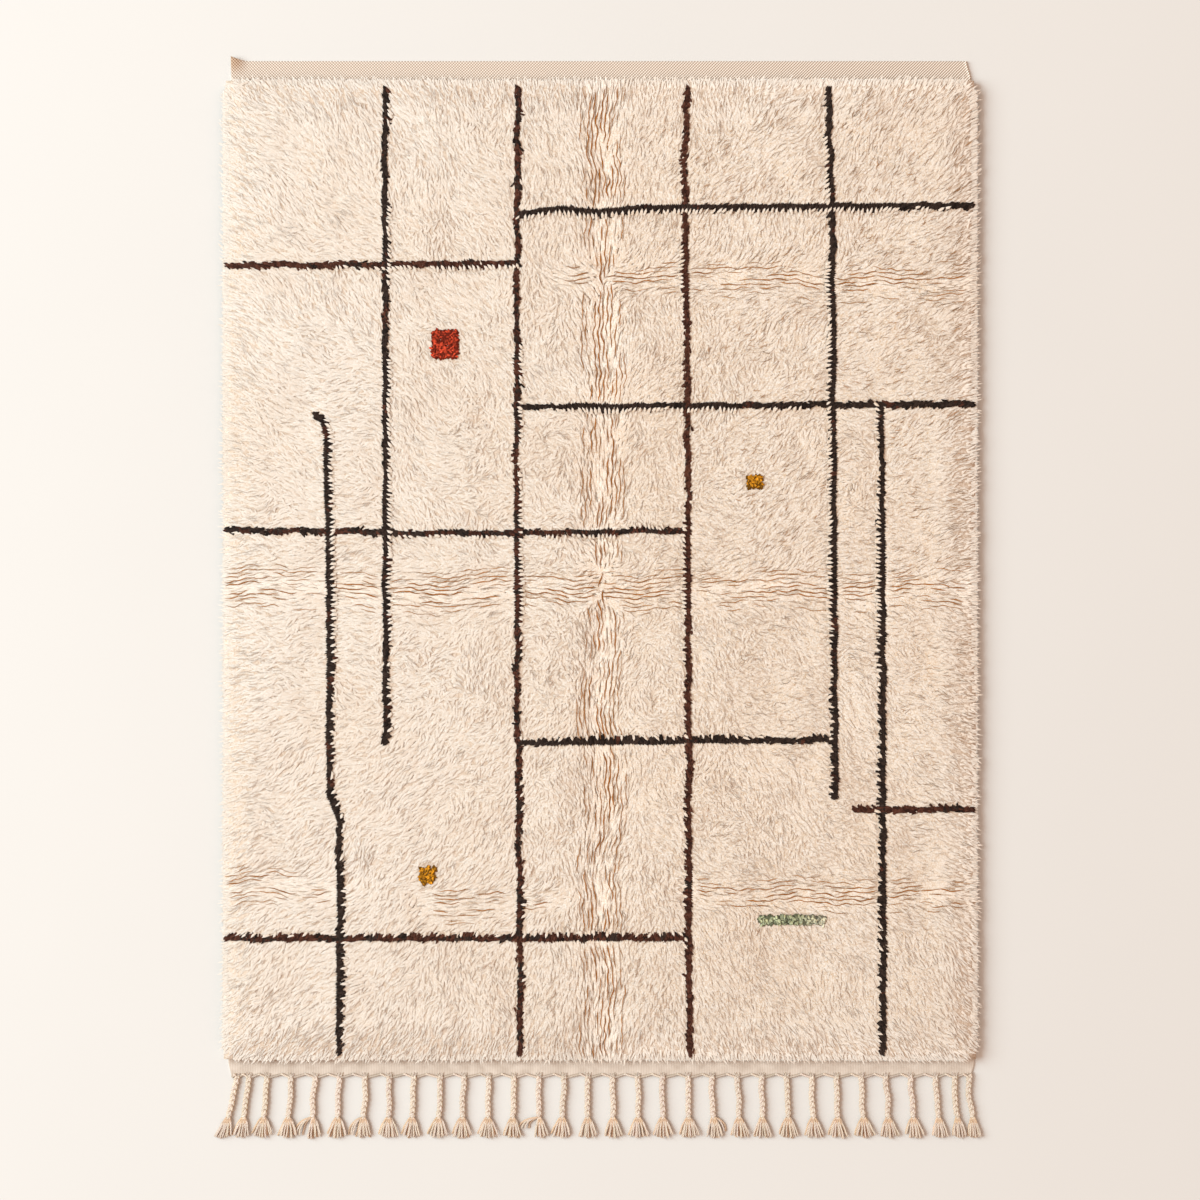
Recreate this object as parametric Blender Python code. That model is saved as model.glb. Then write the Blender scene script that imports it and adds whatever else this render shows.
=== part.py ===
"""A Beni Ourain rug, 1.5 m wide and 2 m long, laid flat with its fringed end towards -Y.

Three pieces: the woven ground with its two flat-woven ends, the shag knotted into it between
those ends, and the fringe of plaited warp tassels on the lower end. Metres, +Z up. The origin
lies on the floor, under the middle of the whole rug, fringe included.
"""

import math
from collections import namedtuple

import bmesh
import bpy
from mathutils import Vector, noise

# Driving sizes
SHAG_WIDTH = 1.500  # from lock tip to lock tip
SHAG_LENGTH = 1.947
UPPER_END = 0.035  # flat weave that shows above the shag
LOWER_END = 0.031  # and below it
TASSEL_LENGTH = 0.123
GROUND_THICK = 0.003
SHAG_TOP = 0.027  # mean height of the shag above the floor
CLEARANCE = 0.0003  # between two pieces

# Where things lie along Y, worked out from the sizes above
SHAG_Y = (LOWER_END + TASSEL_LENGTH - UPPER_END) / 2
GROUND_TOP_Y = SHAG_Y + SHAG_LENGTH / 2 + UPPER_END
GROUND_LOW_Y = SHAG_Y - SHAG_LENGTH / 2 - LOWER_END

# The ground: a little wider at its lower end, with one corner that curls up
GROUND_HALF_TOP = 0.731
GROUND_HALF_LOW = 0.737
EDGE_LINES = 3  # grid lines this side of each edge, a small step apart
COLUMN_STEP = 0.020
ROW_STEP = 0.012
MIDDLE_COLUMNS = 6
MIDDLE_ROWS = 8
CURL_RISE = 0.006
CURL_SPAN = 0.060

# The shag's slab
SHAG_COLUMNS = 40
SHAG_ROWS = 52
RIM_RISE = 0.013  # height of the slab's wall, under its round shoulder
SHOULDER = 0.045
UPPER_DRAW_IN = 0.004  # each side stands this much further in at the upper end
SIDE_WAVER = 0.002
SIDE_WAVER_SPAN = 0.20
Lump = namedtuple("Lump", "span rise seed")
LUMPS = (
    Lump(0.340, 0.0030, 3.1),
    Lump(0.115, 0.0050, 7.7),
    Lump(0.062, 0.0038, 12.9),
)

# Fold marks pressed into the shag: each runs along one axis, at a place on the other, measured
# from the shag's middle. Waver is how far the mark strays to either side.
Crease = namedtuple("Crease", "along place start end depth width waver")
CREASES = (
    Crease("y", 0.004, -0.974, 0.974, 0.0085, 0.036, 0.013),
    Crease("x", -0.040, -0.750, 0.750, 0.0052, 0.030, 0.016),
    Crease("x", 0.574, -0.080, 0.750, 0.0042, 0.028, 0.019),
    Crease("x", -0.640, 0.180, 0.750, 0.0042, 0.028, 0.019),
    Crease("x", -0.625, -0.750, -0.520, 0.0036, 0.026, 0.013),
    Crease("x", -0.655, -0.340, -0.080, 0.0030, 0.026, 0.013),
)
CREASE_FADE = 0.060
WAVER_SPAN = 0.170
DEPTH_SPAN = 0.090
DEPTH_UNEVEN = 0.35

# The rim locks: one on each wall face but every fourth, drawn out through two rings
LOCK_EVERY = 4
LOCK_REACH = 0.013  # how far the locks stand out from the slab
LOCK_SHORT = 0.55  # how much of that the shortest lock may lack
LOCK_SWAY = 0.014
LockRing = namedtuple("LockRing", "reach fill low high")
LOCK_RINGS = (
    LockRing(0.60, 0.66, 0.0033, 0.0120),
    LockRing(1.00, 0.22, 0.0012, 0.0060),
)
LOCK_THIN = 0.003  # the least thickness of a lock

# The fringe: a twined heading and its tassels, of which the outer ones stand closer together
HEADING_DEEP = 0.005
HEADING_HIGH = 0.0055
HEADING_HALF = 0.739
EVEN_FROM = -0.6135
EVEN_TO = 0.6650
EVEN_TASSELS = 27
LEFT_GAPS = (0.047, 0.036, 0.024)  # outwards from the even ones
RIGHT_GAPS = (0.038, 0.0285)
PLACE_JITTER = 0.0036

# A tassel: distances along it are from the ground's edge, and widths are halves
PLAIT_TO = 0.072
PLAIT_RINGS = 10
PLAIT_HALF = 0.0058
PLAIT_HIGH = 0.0090
PLAIT_SWING = 0.0016  # each ring swings this far to the other side of the last one
PLAIT_THIN = 0.0008  # every other ring is this much lower
NECK_AT = 0.078
NECK_HALF = 0.0044
NECK_HIGH = 0.0080
HEAD_AT = 0.086
HEAD_HALF = 0.0075
HEAD_HIGH = 0.0090
ROOF = 0.72  # a section's upper edge is this share of its foot
LEAN_OUT = 0.006
LEAN_LEFT = 0.016
LEAN_LEFT_SPAN = 0.030
LEAN_JITTER = 0.0044
LEAN_BEND = 1.4  # a tassel leans more and more along its length
STRANDS = 4
FAN_HALF = 0.0190
FAN_GAP = 0.0035  # between neighbouring tufts
FAN_ROUND = 0.12  # the outer strands end this share higher
STRAND_UNEVEN = 0.006
StrandRing = namedtuple("StrandRing", "along fill high")
STRAND_RINGS = (
    StrandRing(0.45, 0.34, 0.0068),
    StrandRing(1.00, 0.22, 0.0028),
)

# Colours from the photograph, in linear light
CREAM_WOOL = (0.80, 0.66, 0.52, 1.0)
GROUND_YARN = (0.66, 0.53, 0.41, 1.0)
FRINGE_YARN = (0.72, 0.60, 0.48, 1.0)
SHARP_EDGE = math.radians(50)


def clear_scene():
    for old in list(bpy.data.objects):
        bpy.data.objects.remove(old, do_unlink=True)


def matte(name, colour, roughness):
    material = bpy.data.materials.new(name)
    material.use_nodes = True
    shader = material.node_tree.nodes["Principled BSDF"]
    shader.inputs["Base Color"].default_value = colour
    shader.inputs["Roughness"].default_value = roughness
    shader.inputs["Metallic"].default_value = 0.0
    return material


def finished(name, bm, material):
    """Turns a bmesh into a named object."""
    mesh = bpy.data.meshes.new(name)
    bm.to_mesh(mesh)
    bm.free()
    mesh.materials.append(material)
    mesh.shade_smooth()
    mesh.set_sharp_from_angle(angle=SHARP_EDGE)
    piece = bpy.data.objects.new(name, mesh)
    bpy.context.scene.collection.objects.link(piece)
    return piece


def stray(at, seed):
    """A smooth, repeatable number that rarely leaves -0.5 to 0.5."""
    return noise.noise(Vector((at, seed, 0.37 * seed)))


def eased(share):
    """0 below 0, 1 above 1, and a smooth step between."""
    share = min(max(share, 0.0), 1.0)
    return share * share * (3 - 2 * share)


def mixed(first, second, share):
    return first + (second - first) * share


def middle_x(face):
    return face.calc_center_median().x


def walled(bm, foot):
    """Closes a sheet into a slab with upright walls down to foot, and returns the wall's faces."""
    rim = [edge for edge in bm.edges if edge.is_boundary]
    skirt = bmesh.ops.extrude_edge_only(bm, edges=rim)["geom"]
    for part in skirt:
        if isinstance(part, bmesh.types.BMVert):
            part.co.z = foot
    bmesh.ops.contextual_create(bm, geom=[edge for edge in bm.edges if edge.is_boundary])
    bmesh.ops.recalc_face_normals(bm, faces=bm.faces)
    return [part for part in skirt if isinstance(part, bmesh.types.BMFace)]


def drawn_out(bm, face, across, middle, half, low, high, roof=1.0):
    """Extrudes a four-cornered face to a section that stands at middle, half wide each way along
    across, and from low to high. Its upper edge is roof times as wide. Returns the end face."""
    face = bmesh.ops.extrude_discrete_faces(bm, faces=[face])["faces"][0]
    was = face.calc_center_median()
    for corner in face.verts:
        upper = corner.co.z > was.z
        side = 1 if (corner.co - was).dot(across) > 0 else -1
        corner.co = middle + across * (side * half * (roof if upper else 1.0))
        corner.co.z = high if upper else low
    return face


def crowded_lines(half, step, middle):
    """Grid lines from -half to half: a few a small step apart at each edge, and even between."""
    edge = [half - step * number for number in range(EDGE_LINES + 1)]
    inner = edge[-1]
    even = [inner * (2 * number / middle - 1) for number in range(1, middle)]
    return [-place for place in edge] + even + edge[::-1]


def make_ground(material):
    """The woven sheet. Its grid lines crowd at the edges, where one corner curls up."""
    middle_y = (GROUND_TOP_Y + GROUND_LOW_Y) / 2
    half_length = (GROUND_TOP_Y - GROUND_LOW_Y) / 2
    columns = crowded_lines(GROUND_HALF_TOP, COLUMN_STEP, MIDDLE_COLUMNS)
    rows = crowded_lines(half_length, ROW_STEP, MIDDLE_ROWS)
    bm = bmesh.new()
    bmesh.ops.create_grid(bm, x_segments=len(columns) - 1, y_segments=len(rows) - 1, size=1.0)
    for point in bm.verts:
        x = columns[round((point.co.x + 1) / 2 * (len(columns) - 1))]
        y = rows[round((point.co.y + 1) / 2 * (len(rows) - 1))] + middle_y
        past_shag = eased((y - GROUND_TOP_Y + UPPER_END) / UPPER_END)
        near_corner = eased(1 - (x + GROUND_HALF_TOP) / CURL_SPAN)
        x *= mixed(GROUND_HALF_LOW / GROUND_HALF_TOP, 1, (y - middle_y) / half_length / 2 + 0.5)
        point.co = (x, y, GROUND_THICK + CURL_RISE * past_shag * near_corner)
    ground = finished("ground", bm, material)
    sheet = ground.modifiers.new("Thickness", "SOLIDIFY")
    sheet.thickness = GROUND_THICK
    sheet.offset = -1.0


def crease_depth(x, y):
    """How deep the fold marks press the shag down at a point, measured from its middle."""
    deepest = 0.0
    for crease in CREASES:
        along, off = (x, y) if crease.along == "x" else (y, x)
        off -= crease.place + crease.waver * stray(along / WAVER_SPAN, 5 + 40 * crease.place)
        fade = eased((along - crease.start) / CREASE_FADE + 1)
        fade *= eased((crease.end - along) / CREASE_FADE + 1)
        fade *= 1 + DEPTH_UNEVEN * stray(along / DEPTH_SPAN, 11 + crease.place)
        deepest = max(deepest, crease.depth * fade * math.exp(-((off / crease.width) ** 2)))
    return deepest


def slab_point(across, along):
    """The place on the slab's top for shares from -1 to 1 of its width and length: lumps, less
    the fold marks, falling to a round shoulder at the rim."""
    half_length = SHAG_LENGTH / 2 - LOCK_REACH
    y = half_length * along
    side = 1 if across > 0 else -1
    half_width = SHAG_WIDTH / 2 - LOCK_REACH - UPPER_DRAW_IN * eased(along)
    half_width += SIDE_WAVER * stray(y / SIDE_WAVER_SPAN, 2 + side)
    x = half_width * across
    lumps = [
        lump.rise * noise.noise(Vector((x / lump.span, y / lump.span, lump.seed)))
        for lump in LUMPS
    ]
    full = SHAG_TOP + sum(lumps) - crease_depth(x, y)
    to_edge = min(half_width - abs(x), half_length - abs(y))
    return Vector((x, y + SHAG_Y, mixed(RIM_RISE, full, math.sqrt(eased(to_edge / SHOULDER)))))


def wall_order(face):
    """A sort key that runs once round the slab."""
    middle = face.calc_center_median()
    return math.atan2((middle.y - SHAG_Y) / SHAG_LENGTH, middle.x / SHAG_WIDTH)


def grow_lock(bm, face, number):
    """Draws a wall face out into a lock that droops, sways and tapers."""
    out = Vector((face.normal.x, face.normal.y, 0)).normalized()
    across = Vector((-out.y, out.x, 0))
    root = face.calc_center_median()
    width = max((corner.co - root).dot(across) for corner in face.verts)
    reach = LOCK_REACH * (1 - LOCK_SHORT * abs(stray(number * 0.71, 21)))
    sway = LOCK_SWAY * stray(number * 0.53, 33)
    over_ground = abs(out.y) > abs(out.x)  # these locks lie over a flat-woven end
    floor = GROUND_THICK + CLEARANCE if over_ground else 0.0
    for ring in LOCK_RINGS:
        middle = root + (out * reach + across * sway) * ring.reach
        low = max(ring.low, floor)
        high = max(ring.high, low + LOCK_THIN)
        face = drawn_out(bm, face, across, middle, width * ring.fill, low, high)


def make_shag(material):
    """The lumpy slab, with locks drawn out of its wall."""
    bm = bmesh.new()
    bmesh.ops.create_grid(bm, x_segments=SHAG_COLUMNS, y_segments=SHAG_ROWS, size=1.0)
    for point in bm.verts:
        point.co = slab_point(point.co.x, point.co.y)
    wall = sorted(walled(bm, GROUND_THICK + CLEARANCE), key=wall_order)
    for number, face in enumerate(wall):
        if number % LOCK_EVERY != LOCK_EVERY - 1:
            grow_lock(bm, face, number)
    finished("pile", bm, material)


def tassel_places():
    """Where the tassels hang along the heading, from left to right."""
    pitch = (EVEN_TO - EVEN_FROM) / (EVEN_TASSELS - 1)
    places = [
        EVEN_FROM + pitch * number + PLACE_JITTER * stray(number * 0.77, 41)
        for number in range(EVEN_TASSELS)
    ]
    for gap in LEFT_GAPS:
        places.insert(0, places[0] - gap)
    for gap in RIGHT_GAPS:
        places.append(places[-1] + gap)
    return places


def tassel_axis(place, along):
    """The middle of a tassel's underside, at a distance from the ground's edge. Tassels lean
    outwards, and most at the left corner."""
    corner = math.exp(-(place + HEADING_HALF) / LEAN_LEFT_SPAN)
    lean = LEAN_OUT * place / HEADING_HALF - LEAN_LEFT * corner
    lean += LEAN_JITTER * stray(place * 23, 51)
    return Vector((place + lean * (along / NECK_AT) ** LEAN_BEND, GROUND_LOW_Y - along, 0))


def make_heading(bm, places):
    """The heading as one bar, with a station at each side of each tassel. Returns its front
    faces under the tassels, from left to right."""
    sides = [place + side * PLAIT_HALF for place in places for side in (-1, 1)]
    stations = [-HEADING_HALF] + sides + [HEADING_HALF]
    last = len(stations) - 1
    bmesh.ops.create_grid(bm, x_segments=last, y_segments=1, size=1.0)
    for point in bm.verts:
        station = round((point.co.x + 1) / 2 * last)
        depth = CLEARANCE if point.co.y > 0 else CLEARANCE + HEADING_DEEP
        point.co = (stations[station], GROUND_LOW_Y - depth, HEADING_HIGH)
    front = [face for face in walled(bm, 0.0) if face.normal.y < -0.5]
    return sorted(front, key=middle_x)[1::2]


def grow_plait(bm, face, place):
    """Draws a face of the heading out into a plait whose rings swing from side to side, then
    into its wrapped neck and the head of its tuft."""
    across = Vector((1, 0, 0))
    first = CLEARANCE + HEADING_DEEP
    for ring in range(1, PLAIT_RINGS + 1):
        along = mixed(first, PLAIT_TO, ring / PLAIT_RINGS)
        swing = PLAIT_SWING if ring % 2 else -PLAIT_SWING
        high = PLAIT_HIGH - PLAIT_THIN * (ring % 2)
        middle = tassel_axis(place, along) + across * swing
        face = drawn_out(bm, face, across, middle, PLAIT_HALF, 0, high, ROOF)
    neck = tassel_axis(place, NECK_AT)
    face = drawn_out(bm, face, across, neck, NECK_HALF, 0, NECK_HIGH, ROOF)
    head = tassel_axis(place, HEAD_AT)
    return drawn_out(bm, face, across, head, HEAD_HALF, 0, HEAD_HIGH)


def grow_tuft(bm, head, place, fan_half, number):
    """Splits the head into columns, and draws each out into a strand of the spread tuft."""
    across = Vector((1, 0, 0))
    level = [edge for edge in head.edges if edge.verts[0].co.z == edge.verts[1].co.z]
    columns = bmesh.ops.subdivide_edgering(
        bm, edges=level, cuts=STRANDS - 1, interp_mode="LINEAR"
    )["faces"]
    for strand, face in enumerate(sorted(columns, key=middle_x)):
        side = (2 * strand + 1) / STRANDS - 1
        short = FAN_ROUND * (TASSEL_LENGTH - HEAD_AT) * side * side
        tip = TASSEL_LENGTH - short - STRAND_UNEVEN * abs(stray(number + 0.31 * strand, 61))
        for ring in STRAND_RINGS:
            spread = mixed(HEAD_HALF, fan_half, ring.along)
            along = mixed(HEAD_AT, tip, ring.along)
            middle = tassel_axis(place, along) + across * (side * spread)
            half = ring.fill * 2 * spread / STRANDS
            face = drawn_out(bm, face, across, middle, half, 0, ring.high, ROOF)


def make_fringe(material):
    """The heading, with a plait and a tuft drawn out of it for each tassel."""
    bm = bmesh.new()
    places = tassel_places()
    tips = [tassel_axis(place, TASSEL_LENGTH).x for place in places]
    for number, face in enumerate(make_heading(bm, places)):
        beside = tips[max(number - 1, 0) : number] + tips[number + 1 : number + 2]
        room = min(abs(tip - tips[number]) for tip in beside)
        head = grow_plait(bm, face, places[number])
        grow_tuft(bm, head, places[number], min(FAN_HALF, (room - FAN_GAP) / 2), number)
    finished("fringe", bm, material)


def main():
    clear_scene()
    make_ground(matte("ground_weave", GROUND_YARN, 0.9))
    make_shag(matte("shag_wool", CREAM_WOOL, 0.95))
    make_fringe(matte("fringe_yarn", FRINGE_YARN, 0.9))


main()
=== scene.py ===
"""The looks of a hand-knotted beni ourain rug, laid on a pale floor and seen from straight above.

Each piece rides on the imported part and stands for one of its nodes:
- ground: a woven sheet, with the weave of its two bare ends in relief
- pile: a bed of wool under leaning tails, in cream, dark lines and a few coloured accents
- fringe: a twined heading, plaits of three strands, wrapped necks and loose tufts
"""

import math
from collections import namedtuple

import bpy
import numpy as np
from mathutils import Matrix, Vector, kdtree, noise


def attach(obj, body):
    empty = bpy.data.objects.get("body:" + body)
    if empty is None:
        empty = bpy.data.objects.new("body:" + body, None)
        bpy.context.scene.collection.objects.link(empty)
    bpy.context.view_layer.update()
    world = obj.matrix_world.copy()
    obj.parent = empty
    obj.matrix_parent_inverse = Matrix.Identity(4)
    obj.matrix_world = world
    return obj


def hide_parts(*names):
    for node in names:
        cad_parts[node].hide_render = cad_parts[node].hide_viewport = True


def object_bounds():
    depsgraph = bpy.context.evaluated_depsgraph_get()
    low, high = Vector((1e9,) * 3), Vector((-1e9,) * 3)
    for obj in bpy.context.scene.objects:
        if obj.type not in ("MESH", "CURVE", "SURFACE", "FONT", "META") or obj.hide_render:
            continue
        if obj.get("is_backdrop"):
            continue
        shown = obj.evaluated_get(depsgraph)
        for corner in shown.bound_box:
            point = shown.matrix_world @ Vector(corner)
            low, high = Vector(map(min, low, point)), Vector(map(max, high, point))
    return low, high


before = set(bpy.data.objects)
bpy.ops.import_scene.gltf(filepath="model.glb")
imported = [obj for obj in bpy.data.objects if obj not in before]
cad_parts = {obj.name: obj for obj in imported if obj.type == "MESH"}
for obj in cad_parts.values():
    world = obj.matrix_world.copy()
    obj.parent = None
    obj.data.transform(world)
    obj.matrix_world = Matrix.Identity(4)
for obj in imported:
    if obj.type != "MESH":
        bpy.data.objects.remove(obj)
cad_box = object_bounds()

rng = np.random.default_rng(11)

# ---------------------------------------------------------------- the cloth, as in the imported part
SHAG_WIDTH = 1.500
SHAG_LENGTH = 1.947
UPPER_END = 0.035
LOWER_END = 0.031
TASSEL_LENGTH = 0.123
SHAG_Y = (LOWER_END + TASSEL_LENGTH - UPPER_END) / 2
GROUND_TOP_Y = SHAG_Y + SHAG_LENGTH / 2 + UPPER_END
GROUND_LOW_Y = SHAG_Y - SHAG_LENGTH / 2 - LOWER_END
GROUND_HALF_TOP = 0.731
GROUND_HALF_LOW = 0.737
GROUND_THICK = 0.003
CLEARANCE = 0.0003
CURL_RISE = 0.008
CURL_SPAN = 0.034
CORNER_PULL = 0.0090
CORNER_SPAN = 0.030
LOW_CORNER_CUT = 0.006
LOW_RIGHT_OUT = 0.005
HEM_WIDE = 0.004
HEM_RISE = 0.0025
HEM_SLOPE = 0.008
HEM_BRIGHT = 0.12

# ---------------------------------------------------------------- the shag, fuller than its slab
SHAG_TOP = 0.027
RIM_RISE = 0.020
SHOULDER = 0.055
LOCK_REACH = 0.013
UPPER_DRAW_IN = 0.004
SIDE_WAVER = 0.002
SIDE_WAVER_SPAN = 0.20
CORNER_CUT = 0.026
Lump = namedtuple("Lump", "span rise seed")
LUMPS = (Lump(0.340, 0.0030, 3.1), Lump(0.115, 0.0050, 7.7), Lump(0.062, 0.0038, 12.9))
Crease = namedtuple("Crease", "along place start end depth width waver")
CREASES = (
    Crease("y", 0.004, -0.974, 0.974, 0.0085, 0.036, 0.013),
    Crease("x", -0.040, -0.750, 0.750, 0.0052, 0.030, 0.016),
    Crease("x", 0.574, -0.080, 0.750, 0.0042, 0.028, 0.019),
    Crease("x", -0.640, 0.180, 0.750, 0.0042, 0.028, 0.019),
    Crease("x", -0.625, -0.750, -0.520, 0.0036, 0.026, 0.013),
    Crease("x", -0.655, -0.340, -0.080, 0.0030, 0.026, 0.013),
)
CREASE_FADE = 0.060
LUMPS_SHOWN = 0.6
CREASES_SHOWN = 0.5
WAVER_SPAN = 0.170
DEPTH_SPAN = 0.090
DEPTH_UNEVEN = 0.35

# ---------------------------------------------------------------- the tassels' places
HEADING_HALF = 0.739
EVEN_FROM = -0.6135
EVEN_TO = 0.6650
EVEN_TASSELS = 27
LEFT_GAPS = (0.047, 0.036, 0.024)
RIGHT_GAPS = (0.038, 0.0285)
PLACE_JITTER = 0.0036
NECK_AT = 0.078
LEAN_OUT = 0.006
LEAN_LEFT = 0.016
LEAN_LEFT_SPAN = 0.030
LEAN_JITTER = 0.0044
LEAN_BEND = 1.4
FAN_GAP = 0.0035

# ---------------------------------------------------------------- colours, in linear light
CREAM = np.array((0.848, 0.782, 0.712))
# painted light: the cream is made fairer towards the right
RIGHT_PAINTED_LIGHT = 0.05
TAN = np.array((0.76, 0.60, 0.46))
# painted shade for wool that lies low: in the ribs' partings, at clumps' borders and in the bed
# under fold marks
DEEP_PAINTED_SHADE = np.array((0.66, 0.39, 0.20))
CHARCOAL = np.array((0.025, 0.0165, 0.0135))
BROWN = np.array((0.060, 0.023, 0.015))
RED = np.array((0.53, 0.060, 0.026))
OCHRE = np.array((0.65, 0.290, 0.017))
GREEN = np.array((0.44, 0.52, 0.35))
# painted shade on the accents' lower tails, in the pits between the upper ones
UNDER_ACCENT_PAINTED_SHADE = 0.33
# painted shade: the bed is darker and warmer than the cream, as the gaps between the tails look
BED_PAINTED_SHADE = np.array((0.80, 0.665, 0.55))
# painted shade in the grooves at the tails' edges, between fibres and in curl pits
GROOVE_PAINTED_SHADE = (0.73, 0.58, 0.43, 1.0)
# painted shade on the tails' roots, where the tails above shade them
ROOT_PAINTED_SHADE = (0.97, 0.93, 0.88)
RIM_ROOT_PAINTED_SHADE = (0.98, 0.94, 0.90)
PLAIN = (1.0, 1.0, 1.0, 1.0)
BED_GRAIN = (0.80, 0.74, 0.67, 1.0)
# painted shade in the grooves of the fringe yarn's twist
PLY_GROOVE_PAINTED_SHADE = (0.90, 0.84, 0.78, 1.0)
WEAVE_LIGHT = (1.00, 0.88, 0.77, 1.0)
# painted shade between the weave's crowns
WEAVE_PAINTED_SHADE = (0.32, 0.20, 0.12, 1.0)
LOW_END_TONE = (0.84, 0.83, 0.82, 1.0)
# painted shade on the top left corner, darker the higher it curls
CORNER_PAINTED_SHADE = np.array((0.84, 0.72, 0.61))
YARN_LIGHT = np.array((0.80, 0.695, 0.605))
# painted shade at the two sides of each fringe yarn
YARN_EDGE_PAINTED_SHADE = (0.78, 0.64, 0.50, 1.0)
# painted shade on the tufts' lowest layer of yarns
UNDER_YARN_PAINTED_SHADE = np.array((1.04, 0.90, 0.75))
FLOOR_PALE = (0.747, 0.723, 0.695, 1.0)
FLOOR_SHADED = (0.735795, 0.712155, 0.684575, 1.0)
# painted shade of the shag's partings and of the fold marks' partings
PARTING_PAINTED_SHADE = np.array((0.44, 0.200, 0.066))
FOLD_PAINTED_SHADE = np.array((0.32, 0.108, 0.012))

# ---------------------------------------------------------------- wool, for the shader
# edge, hair, curl and loop are each wool's shares of painted shade
Wool = namedtuple("Wool", "name edge hair curl loop depth sheen")
WOOLS = (
    Wool("shag_wool", 0.18, 0.50, 0.66, 1.0, 0.0002, 0.20),
    Wool("line_wool", 0.8, 0.8, 0.8, 0.0, 0.0006, 0.03),
    Wool("parting_shade_wool", 0.0, 0.3, 0.0, 0.0, 0.0002, 0.0),
)
CURL_GRAIN = 310.0
CURLY_LINES = 165.0
CURLY_PATCHES = 70.0
CREST_AT = 2 / 3
FIBRE_STRETCH = (5.0, 110.0, 1.0)

# ---------------------------------------------------------------- the shag's tails
Growth = namedtuple("Growth", "half reach_share lift astray gathers")
CREAM_GROWTH = Growth(0.0025, 1.00, 0.0000, 0.45, True)
CORE_GROWTH = Growth(0.0034, 0.36, 0.0010, 0.08, False)
LINE_GROWTH = Growth(0.0024, 0.38, 0.0016, 0.28, False)
UNDER_GROWTH = Growth(0.0036, 0.26, 0.0014, 0.90, False)
OVER_GROWTH = Growth(0.0019, 0.24, 0.0024, 2.50, False)
TOOTH_GROWTH = Growth(0.0024, 0.40, 0.0026, 0.20, False)
TAIL_PITCH = 0.0073
TAIL_CREST = 0.11
TAIL_FOOT = 0.0060
SHORT_REACH = 0.026
LONG_REACH = 0.042
TIP_AHEAD = 0.0080
RIM_ROOM = 0.0042
Ring = namedtuple("Ring", "share rise fill")
TAIL_RINGS = (Ring(0.20, 0.92, 0.95), Ring(0.66, 1.00, 1.00))
TAIL_TIP_RISE = 0.97
SOFTNESS = 5.0
YARN_SOFTNESS = 0.9
SLOPE_STEP = 0.006
SLOPE_SHOWN = 0.22
SLOPE_MOST = 0.03
TOP_UNEVEN = 0.0002
PARTINGS = 6200
PARTING_RINGS = 4
MIDDLE_STEPS = (0.0020, 0.0052)
BORDER_STEPS = (0.0045, 0.0095)
MIDDLE_WOBBLE = 0.45
BORDER_WOBBLE = 0.12
BORDER = 0.13
LINE_NEAR = 0.018
PARTING_HALVES = (0.00030, 0.00065)
PARTING_LIFT = 0.0010
# the partings' painted shade is darker where they run across the light and paler towards the left
PARTING_LEAST = 0.45
PARTING_PALE_LEFT = 0.5
LIT_ACROSS = Vector((math.sqrt(0.5), math.sqrt(0.5)))
FOLD_RINGS = 5
FOLD_STEP = 0.0062
FOLD_WAVE = 0.0046
FOLD_WAVE_SPAN = 0.019
FOLD_ASTRAY = 0.88
FOLD_EVERY = 0.019
FOLD_CHANCE = 2.8
FOLD_HALF = 0.0013
# painted light on the cream in the fold marks and on the right shoulder, which lie in shade
FOLD_PAINTED_LIGHT = 0.14
SHOULDER_PAINTED_LIGHT = 0.10
FOLD_RIBS = 5
RIM_RINGS = (Ring(0.05, 0.85, 0.90), Ring(0.45, 1.00, 1.00), Ring(0.84, 0.90, 0.90))
RIM_TIP_RISE = 0.26
RIM_STEP = 0.0025
RIM_ENDS = 0.004
RIM_SPLAY = 0.35
RIM_TOPS = (0.0172, 0.0192)
RIM_REACH = (0.023, 0.034)
RIM_HALVES = (0.0019, 0.0029)
Swirl = namedtuple("Swirl", "strength span seeds")
SWIRLS = (Swirl(0.70, 0.150, (0.3, 0.9)), Swirl(0.55, 0.045, (0.2, 0.5)))
RIM_FREE = 0.3
COMBED_RIM = 0.10
SIDE_DRAW = 0.8
END_DRAW = 0.45
DRAWN_RIM = 0.05
CLUMP_SPAN = 0.024
CLUMP_PULL = 0.12
CLUMP_DROP = 0.0004
RIB_PITCH = 0.0082
RIB_PUSH = 0.0005
RIB_DROP = 0.0004
RIB_NARROW = 0.14
Wander = namedtuple("Wander", "reach span seed")
RIB_WANDERS = (Wander(0.0048, 0.040, 71), Wander(0.0100, 0.11, 73))
BANDS = 4
BED_STEP = 0.0150
BED_INSET = 0.006
BED_SUNK = 0.0013
BED_FOLD_SUNK = 0.0015

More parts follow.
